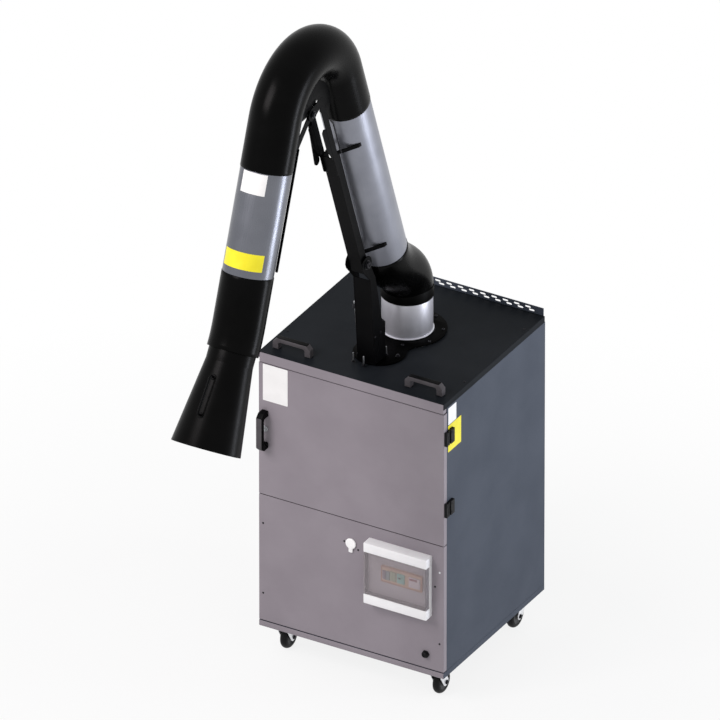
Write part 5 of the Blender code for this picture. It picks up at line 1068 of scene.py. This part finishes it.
# %% Box, bands and liner
BOX_X, BOX_Z = (57 * MM, 275 * MM), (311.7 * MM, 521.7 * MM)
BASE_BACK, BASE_FRONT, BAND_FRONT, BAND_TALL = 173.8 * MM, 157 * MM, 136 * MM, 32 * MM
WINDOW_Z = (BOX_Z[0] + BAND_TALL, BOX_Z[1] - BAND_TALL)
INSET = 0.6 * MM
base = block((BOX_X[0] + INSET, BASE_FRONT, BOX_Z[0] + INSET),
             (BOX_X[1] - INSET, BASE_BACK - INSET, BOX_Z[1] - INSET), 2 * MM)
bands = [block((BOX_X[0], BAND_FRONT, z), (BOX_X[1], BASE_BACK, z + BAND_TALL), 2.5 * MM)
         for z in (BOX_Z[0], WINDOW_Z[1])]
piece("control_box_body", together(base, *bands), WHITE_ABS, "cabinet", "control_box")

window_width, window_height = BOX_X[1] - BOX_X[0], WINDOW_Z[1] - WINDOW_Z[0]
window_place = on_front((BOX_X[0] + BOX_X[1]) / 2, BASE_FRONT, (WINDOW_Z[0] + WINDOW_Z[1]) / 2)
backing = pressed([rounded(window_width - 10 * MM, window_height - 2 * MM, 3 * MM)], 1.2 * MM, 0.4 * MM)
backing_place = window_place @ Matrix.Translation((-2.5 * MM, 0, 0))
piece("window_backing", placed(backing, backing_place), LINER_GREY, "cabinet")
# Dark walls round the window's recess: painted shade.
WALL, WALL_FRONT = 1.5 * MM, BAND_FRONT + 3.5 * MM
rail_walls = [block((BOX_X[0] + 1 * MM, WALL_FRONT, z), (BOX_X[1] - 6 * MM, BASE_FRONT, z + WALL), 0.5 * MM)
              for z in (WINDOW_Z[0] + 0.2 * MM, WINDOW_Z[1] - 1.7 * MM)]
side_walls = [block((x, WALL_FRONT, WINDOW_Z[0] + 2 * MM),
                    (x + WALL, BASE_FRONT, WINDOW_Z[1] - 2 * MM), 0.5 * MM)
              for x in (BOX_X[0] + 3 * MM, BOX_X[1] - 5.5 * MM)]
piece("window_recess_shade_walls", together(*rail_walls, *side_walls), RECESS_SHADE_DARK, "cabinet")


# %% Clear flap
def tray(width, height, corner, rows):
    """A shallow tray: each row is the rounded rectangle, drawn in by its first number, at its second."""
    outline = rounded(width, height, corner, 5)
    way = unit(np.roll(outline, -1, axis=0) - np.roll(outline, 1, axis=0))
    inward = np.stack([-way[:, 1], way[:, 0]], axis=-1)
    rows = np.asarray(rows, float)
    flat = outline[None] + rows[:, :1, None] * inward[None]
    points = np.concatenate([flat, np.broadcast_to(rows[:, 1:, None], flat.shape[:2] + (1,))], axis=-1)
    middle = np.zeros_like(points[:1])
    return gridded(np.concatenate([middle + [0, 0, rows[0, 1]], points, middle + [0, 0, rows[-1, 1]]]))


FLAP_DEEP, FLAP_WALL, FLAP_EDGE = BASE_FRONT - BAND_FRONT - 0.4 * MM, 2 * MM, 1.6 * MM
soft_edge = [(FLAP_EDGE * (1 - math.sin(a)), FLAP_DEEP - FLAP_EDGE * (1 - math.cos(a)))
             for a in np.linspace(0, math.pi / 2, 5)]
flap_rows = [*soft_edge, (0, 0), (FLAP_WALL, 0), (FLAP_WALL, FLAP_DEEP - FLAP_WALL)]
flap = tray(window_width - 0.4 * MM, window_height - 0.8 * MM, 3 * MM, flap_rows)
flap_place = window_place @ Matrix.Translation((0, 0, 0.3 * MM))
piece("window_flap_tray", placed(flap, flap_place), CLEAR_FLAP, "window_flap", "control_box_window")

# %% [markdown]
# The modules clip on a rail behind a cream cover with a brown edge. From the left they are two breakers, an
# olive relay, a teal one, and a white controller whose small red display is blank. The tipping toggle in
# front of them is a solid of its own and keeps its form.

# %% Module row
ROW_X, ROW_Z, ROW_FACE = 112 * MM, 398.7 * MM, 148 * MM
ROW_WIDTH, ROW_HEIGHT = 142 * MM, 54 * MM
row_place = on_front(ROW_X + ROW_WIDTH / 2, ROW_FACE + 1 * MM, ROW_Z + ROW_HEIGHT / 2)
cover = block((ROW_X, ROW_FACE, ROW_Z), (ROW_X + ROW_WIDTH, BASE_FRONT + 1 * MM, ROW_Z + ROW_HEIGHT), 1 * MM)
piece("module_cover", cover, MODULE_CREAM, "cabinet", "control_modules")
edge_strip = pressed([rounded(ROW_WIDTH, ROW_HEIGHT, 1.5 * MM),
                      rounded(ROW_WIDTH - 6 * MM, ROW_HEIGHT - 6 * MM, 1 * MM)], 2 * MM, 0.3 * MM)
piece("module_cover_edge", placed(edge_strip, row_place), MODULE_BROWN, "cabinet")
MODULES = {  # left, right, low and high in mm from the row's corner
    "breaker_plum": (6, 18, 11, 41, MODULE_PLUM), "breaker_grey": (18.4, 30, 11, 41, MODULE_GREY),
    "relay_olive": (32, 52, 12, 43, MODULE_OLIVE), "relay_teal": (56, 82, 11, 43, MODULE_TEAL),
    "controller_white": (97, 136, 9, 43, MODULE_WHITE)}
for name, (left, right, low, high, finish) in MODULES.items():
    form = block((ROW_X + left * MM, ROW_FACE - 3.6 * MM, ROW_Z + low * MM),
                 (ROW_X + right * MM, ROW_FACE + 3 * MM, ROW_Z + high * MM), 1 * MM)
    piece("module_" + name, form, finish, "cabinet")
display = block((ROW_X + 100 * MM, ROW_FACE - 4.4 * MM, ROW_Z + 33 * MM),
                (ROW_X + 127 * MM, ROW_FACE, ROW_Z + 40 * MM), 0.6 * MM)
piece("module_display", display, DISPLAY_RED, "cabinet")

# %% [markdown]
# ## Lamp and cable gland
#
# The lamp's lens is a disc with a short neck below, moulded with a soft edge. The gland is a hexagon body and
# a domed nut that squeezes a rubber ring; no cable is fitted, so a plug fills its hole.

# %% Lamp and gland
LAMP_X, LAMP_Z, LAMP_RADIUS = -5 * MM, 482.7 * MM, 17.5 * MM
NECK_HALF, NECK_DROP = 7 * MM, 30 * MM
opening = math.asin(NECK_HALF / LAMP_RADIUS)
bulb = arc((0, 0), LAMP_RADIUS, opening - math.pi / 2, 3 * math.pi / 2 - opening, 60)
lamp_outline = np.concatenate([bulb, [(-NECK_HALF, -NECK_DROP + 2 * MM), (-NECK_HALF + 2 * MM, -NECK_DROP),
                                      (NECK_HALF - 2 * MM, -NECK_DROP), (NECK_HALF, -NECK_DROP + 2 * MM)]])
lens = pressed([lamp_outline], 6 * MM, 2 * MM, 5)
piece("lamp_lens", placed(lens, on_front(LAMP_X, FRONT_Y, LAMP_Z)), LAMP_WHITE, "cabinet", "indicator_lamp")

GLAND_X, GLAND_Z = 254 * MM, 173.7 * MM
dome_corners = np.array([(0, 5), (10, 5), (10, 10), (6.4, 14), (5, 14), (5, 12), (0, 12)]) * MM
gland_dome = lathe(eased(dome_corners, np.array([0, 0.5, 2.5, 1.5, 0.5, 0.5, 0]) * MM, 3, closed=False), 36)
gland_nut = pressed([hexagon(22 * MM)], 6 * MM, 0.8 * MM)
gland_place = on_front(GLAND_X, FRONT_Y, GLAND_Z)
gland = placed(together(gland_dome, gland_nut), gland_place)
piece("gland_nut_and_dome", gland, NYLON, "cabinet", "cable_gland")

# %% [markdown]
# ## Casters
#
# Each caster has a plate, a ball race, a fork pressed from zinc-plated sheet, and a wheel with a round
# rubber tyre on a grey hub. Everything is made once, with the swivel axis at the origin and the wheel
# trailing towards +Y, and then turned and moved to each corner. The rear pair's wheels trail the other way.

# %% Caster forms
WHEEL_RADIUS, WHEEL_HALF, TRAIL = 39.66 * MM, 12.5 * MM, 22 * MM
TYRE_SEAT = 26 * MM


def tyre():
    """A round tyre: a full crown, r = seat + rise * cos(a)^0.75, with a straight band inside."""
    angle = np.linspace(-math.pi / 2, math.pi / 2, 15)
    crown = np.stack([TYRE_SEAT + (WHEEL_RADIUS - TYRE_SEAT) * np.cos(angle) ** 0.75,
                      WHEEL_HALF * np.sin(angle)], axis=-1)
    return lathe(np.concatenate([crown, [(25.5 * MM, 11 * MM), (25.5 * MM, -11 * MM)]]), 72, ring=True)


def wheel_hub():
    """A dished hub: a boss in the middle, a web, and the seat of the tyre."""
    side = [(0, 14.4), (7, 14.4), (8.5, 13.6), (9.5, 10), (12, 8), (19, 7), (22.5, 9), (24, 11.3),
            (26.6, 11.3)]
    outline = np.array(side + [(radius, -height) for radius, height in side[::-1]]) * MM
    return lathe(outline, 56)


FORK_HALF, FORK_SHEET, AXLE_FACE = 18.6 * MM, 3 * MM, 18.5 * MM
leg_corners = np.array([(-21, 86), (12, 86), (33.5, 47), (33, 29), (11.5, 28.5), (-8, 60)]) * MM
leg = pressed([eased(leg_corners, np.array([3, 10, 9, 10, 10, 14]) * MM, 6)], FORK_SHEET, 0.7 * MM)
legs = placed(leg, on_side(FORK_HALF - FORK_SHEET), on_side(-FORK_HALF))
crown_outline = eased([(-FORK_HALF, -21 * MM), (FORK_HALF, -21 * MM), (FORK_HALF, 14 * MM),
                       (-FORK_HALF, 14 * MM)], 3 * MM)
crown = placed(pressed([crown_outline], FORK_SHEET, 0.7 * MM), at(0, 0, 83.5 * MM))


def ball_race(corners):
    """Half of the ball race: its outer corners in mm, eased and turned about the swivel axis."""
    return lathe(eased(corners, [0, 1, 1, 1, 0], 3, closed=False) * MM, 48)


fork_form = together(legs, crown, ball_race([(0, 85), (23, 85), (24, 87.5), (22, 90.4), (0, 90.4)]))
axle_ends = placed(bolt(12 * MM, 4.4 * MM, 7.5 * MM),
                   *[at(side * AXLE_FACE, TRAIL, WHEEL_RADIUS, (side, 0, 0)) for side in (1, -1)])
axle = together(axle_ends, placed(pin(4.2 * MM, 36 * MM), at(-18 * MM, TRAIL, WHEEL_RADIUS, (1, 0, 0))))
top_plate = placed(pressed([rounded(70 * MM, 85 * MM, 6 * MM)], 3 * MM, 0.6 * MM), at(0, 0, 99.4 * MM))
top_form = together(top_plate, ball_race([(0, 90.9), (22, 90.9), (24, 94), (21, 99.6), (0, 99.6)]))
hub_spin = at(0, TRAIL, WHEEL_RADIUS, (1, 0, 0))

# %% Four casters
for corner in CORNERS:
    x, y, _ = JOINT["caster_swivel_" + corner]
    spot = Matrix.Translation((x, y, 0)) @ Matrix.Rotation(0 if "front" in corner else math.pi, 4, "Z")
    fork, wheel = "caster_fork_" + corner, "caster_wheel_" + corner
    piece(f"fork_{corner}", placed(fork_form, spot), CASTER_ZINC, fork, fork)
    piece(f"axle_{corner}", placed(axle, spot), DARK_BOLT, fork)
    piece(f"tyre_{corner}", placed(placed(tyre(), hub_spin), spot), WHEEL_RUBBER, wheel, wheel)
    piece(f"hub_{corner}", placed(placed(wheel_hub(), hub_spin), spot), HUB_GREY, wheel)
    piece(f"top_plate_{corner}", placed(top_form, spot), CASTER_ZINC, "cabinet", "caster_plate_" + corner)

# %% [markdown]
# ## Inside the filter chamber
#
# Behind the door lie the spark arrestor, a woven wire mesh in a frame, and the main filter below it. Fleece
# is folded into pleats to get much more area into the same box, so its ends show a zigzag. The zigzag outline
# is pressed through the whole depth of the pack. The wires of the mesh weave over and under each other.

# %% Filter pack and frame
_, filter_low, filter_high = box_middle("main_filter")
PLEAT, PLEAT_DEPTH, CASE = 14 * MM, 16 * MM, 12 * MM
left, right = filter_low.x + CASE, filter_high.x - CASE
folds = int((right - left) / PLEAT)
across = np.linspace(left, right, 2 * folds + 1)
wave = PLEAT_DEPTH * (np.arange(2 * folds + 1) % 2)
top = np.stack([across, filter_high.z - 6 * MM - wave], axis=-1)
bottom = np.stack([across, filter_low.z + 6 * MM + wave], axis=-1)[::-1]
pleats = pressed([np.concatenate([bottom, top])], filter_high.y - filter_low.y - 2 * CASE, 0.5 * MM)
piece("filter_pleats", placed(pleats, on_front(0, filter_high.y - CASE, 0)), FLEECE, "cabinet", "main_filter")


def frame_of_sheet(low, high, rim):
    """A rectangular frame, pressed from its outline and its opening, standing as high as its box."""
    centre = (low + high) / 2
    wide, deep = high.x - low.x, high.y - low.y
    outlines = [rounded(wide, deep, 3 * MM), rounded(wide - 2 * rim, deep - 2 * rim, 2 * MM)]
    return placed(pressed(outlines, high.z - low.z, 0.8 * MM), at(centre.x, centre.y, low.z))


piece("filter_case", frame_of_sheet(filter_low, filter_high, CASE), BARE_SHEET, "cabinet")

# %% Spark arrestor
_, mesh_low, mesh_high = box_middle("spark_arrestor")
piece("arrestor_frame", frame_of_sheet(mesh_low, mesh_high, 22 * MM), BARE_SHEET, "cabinet", "spark_arrestor")
WIRE_PITCH, WIRE_RADIUS = 14 * MM, 1.1 * MM  # a real spark mesh is finer, drawn coarse so that it shows
mesh_z = (mesh_low.z + mesh_high.z) / 2


def wire(start, end, steps):
    """One woven wire: its height swings by one wire's thickness, half a wave for each crossing."""
    share = np.linspace(0, 1, steps)[:, None]
    path = np.asarray(start) * (1 - share) + np.asarray(end) * share
    path[:, 2] += WIRE_RADIUS * np.cos(math.pi * np.linalg.norm(path - path[0], axis=1) / WIRE_PITCH)
    return sweep(path, circle(WIRE_RADIUS, 6), side=(0, 0, 1) if start[0] == end[0] else (0, 1, 0))


inner_low, inner_high = mesh_low.xy + Vector((20 * MM, 20 * MM)), mesh_high.xy - Vector((20 * MM, 20 * MM))
columns = np.arange(inner_low.x + WIRE_PITCH / 2, inner_high.x, WIRE_PITCH)
rows = np.arange(inner_low.y + WIRE_PITCH / 2, inner_high.y, WIRE_PITCH)
wires = [wire((x, inner_low.y, mesh_z), (x, inner_high.y, mesh_z), 100) for x in columns[::2]]
wires += [wire((inner_low.x, y, mesh_z), (inner_high.x, y, mesh_z), 100) for y in rows[::2]]
piece("arrestor_mesh", together(*wires), ZINC, "cabinet")

# %% [markdown]
# ## Fan motor
#
# The motor hangs under the fan housing. Its cast body has cooling fins all round, which are the teeth of a
# flat outline pressed along the motor's length, with a turned end cover and a small terminal box.

# %% Fan motor
motor_middle, motor_low, motor_high = box_middle("fan_motor")
FINS, FIN_ROOT, FIN_TIP, FLANGE = 36, 72 * MM, 79 * MM, 94 * MM
fin_angle = (np.arange(4 * FINS) + 0.5) * 2 * math.pi / (4 * FINS)
fin_reach = np.where(np.arange(4 * FINS) % 4 < 2, FIN_TIP, FIN_ROOT)
fin_outline = np.stack([fin_reach * np.cos(fin_angle), fin_reach * np.sin(fin_angle)], axis=-1)
motor_long = motor_high.z - motor_low.z
body = placed(pressed([fin_outline], motor_long - 42 * MM, 0.8 * MM), at(0, 0, 26 * MM))
cover_corners = [(0, 0), (62, 0), (76, 12), (76, 30), (0, 30)]
cover = lathe(eased(cover_corners, [0, 8, 8, 1, 0], 4, closed=False) * MM, 72)
flange_corners = [(0, 0), (FLANGE, 0), (FLANGE, 10 * MM), (0, 10 * MM)]
flange = lathe(eased(flange_corners, np.array([0, 1, 1, 0]) * MM, 3, closed=False), 72)
flange = placed(flange, at(0, 0, motor_long - 10.2 * MM))
neck = lathe([(0, motor_long - 20 * MM), (70 * MM, motor_long - 20 * MM), (74 * MM, motor_long - 8 * MM),
              (0, motor_long - 8 * MM)], 72)
terminal_box = block((-28 * MM, -92 * MM, 60 * MM), (28 * MM, -70 * MM, 120 * MM), 4 * MM)
motor = together(body, cover, flange, neck, terminal_box)
motor_place = at(motor_middle.x, motor_middle.y, motor_low.z)
piece("finned_motor", placed(motor, motor_place), MOTOR_GREY, "cabinet", "fan_motor")

# %% [markdown]
# ## The camera, the light and the floor
#
# The photograph was taken from the front right, about 30 degrees up, with hardly any perspective. A
# very long lens from far away gives that; 95 m is far enough, and near enough for the far clip of other
# views. Two large soft lamps stand where the photograph's highlights say. One is high at the front left.
# The other is tall and narrow, low on the right, and its long reflection is the bright stripe on each duct.
# An even pale surrounding fills the rest, and every ray that looks straight at it finds it white.

# %% Camera
CAMERA_TURN, CAMERA_RISE = math.radians(30), math.radians(30.3)
CAMERA_DISTANCE = 95.0
PICTURE_WIDTH = 2.160
AIM = Vector((-0.1034, 0.395, 0.978))
level = math.cos(CAMERA_RISE)
back = Vector((math.sin(CAMERA_TURN) * level, -math.cos(CAMERA_TURN) * level, math.sin(CAMERA_RISE)))
camera_data = bpy.data.cameras.new("camera")
camera_data.lens = camera_data.sensor_width * CAMERA_DISTANCE / PICTURE_WIDTH
camera_data.clip_end = 4 * CAMERA_DISTANCE
camera = bpy.data.objects.new("camera", camera_data)
bpy.context.scene.collection.objects.link(camera)
camera.location = AIM + back * CAMERA_DISTANCE
camera.rotation_mode = "QUATERNION"
camera.rotation_quaternion = (-back).to_track_quat("-Z", "Y")
bpy.context.scene.camera = camera


# %% Lamps
LAMPS_AIM = Vector((0, 0, 1.2))


def softbox(name, direction, distance, width, height, watts, tint):
    """A large soft lamp that looks at the middle of the machine."""
    lamp = bpy.data.lights.new(name, "AREA")
    lamp.shape = "RECTANGLE"
    lamp.size, lamp.size_y, lamp.energy = width, height, watts
    lamp.color = colour(tint)[:3]
    obj = bpy.data.objects.new(name, lamp)
    bpy.context.scene.collection.objects.link(obj)
    way = Vector(direction).normalized()
    obj.location = LAMPS_AIM + way * distance
    obj.rotation_mode = "QUATERNION"
    obj.rotation_quaternion = (-way).to_track_quat("-Z", "Y")


softbox("front_fill", (-0.32, -0.67, 0.67), 6.0, 2.4, 2.6, 205, "#FFF8FA")
softbox("right_strip", (3.95, 1.75, -0.9), 4.41, 0.9, 3.4, 125, "#F1F5FF")


# %% Surroundings
def looks_straight(tree):
    """One for camera, glossy and transmission rays, which see the white background, nought for the rest."""
    path = add(tree, "ShaderNodeLightPath", {}, {})
    seen = path.outputs["Is Camera Ray"]
    for kind in ("Is Glossy Ray", "Is Transmission Ray"):
        either = add(tree, "ShaderNodeMath", {}, {0: seen, 1: path.outputs[kind]}, operation="MAXIMUM")
        seen = either.outputs[0]
    return seen


ROOM_LIGHT = 0.6
world = bpy.data.worlds.new("pale_room")
bpy.context.scene.world = world
world.use_nodes = True
room = world.node_tree
room.nodes.clear()
brightness = add(room, "ShaderNodeMapRange", {"To Min": ROOM_LIGHT, "To Max": 1.0},
                 {"Value": looks_straight(room)})
sky = add(room, "ShaderNodeBackground", {"Color": (1, 1, 1, 1)}, {"Strength": brightness.outputs["Result"]})
add(room, "ShaderNodeOutputWorld", {}, {"Surface": sky.outputs["Background"]})

# %% [markdown]
# The floor is painted pale. Seen straight, most of it is the background's white, and the rest still shows
# the machine's shadow. From 1.1 m out it fades into the white altogether, so its edge never shows.

# %% Floor
HALF_FLOOR, RIGHT_EDGE = 30.0, 2.6  # in metres; on the right it ends where the tall lamp stands beside it
FADE = {"From Min": 1.1, "From Max": 2.4, "To Min": 0.85, "To Max": 1.0}
floor_finish, floor_tree, floor_shader, floor_place = new_finish("pale_floor_paint", "#E8E8E8", 0.9)
glow = add(floor_tree, "ShaderNodeEmission", {"Color": (1, 1, 1, 1), "Strength": 1.0}, {})
away = add(floor_tree, "ShaderNodeVectorMath", {}, {0: floor_place}, operation="LENGTH")
fade = add(floor_tree, "ShaderNodeMapRange", FADE, {"Value": away.outputs["Value"]})
share = add(floor_tree, "ShaderNodeMath", {}, {0: looks_straight(floor_tree), 1: fade.outputs["Result"]},
            operation="MULTIPLY")
mixed = add(floor_tree, "ShaderNodeMixShader", {}, {0: share.outputs[0], 1: floor_shader.outputs["BSDF"],
                                                   2: glow.outputs["Emission"]})
floor_tree.links.new(mixed.outputs["Shader"], floor_tree.nodes["Material Output"].inputs["Surface"])
floor_mesh = bpy.data.meshes.new("floor")
floor_mesh.from_pydata([(-HALF_FLOOR, -HALF_FLOOR, 0), (RIGHT_EDGE, -HALF_FLOOR, 0),
                        (RIGHT_EDGE, HALF_FLOOR, 0), (-HALF_FLOOR, HALF_FLOOR, 0)], [], [(0, 1, 2, 3)])
floor_mesh.materials.append(floor_finish)
floor = bpy.data.objects.new("floor", floor_mesh)
floor.location.z = -0.0005
bpy.context.scene.collection.objects.link(floor)
bpy.context.scene.view_settings.view_transform = "Standard"
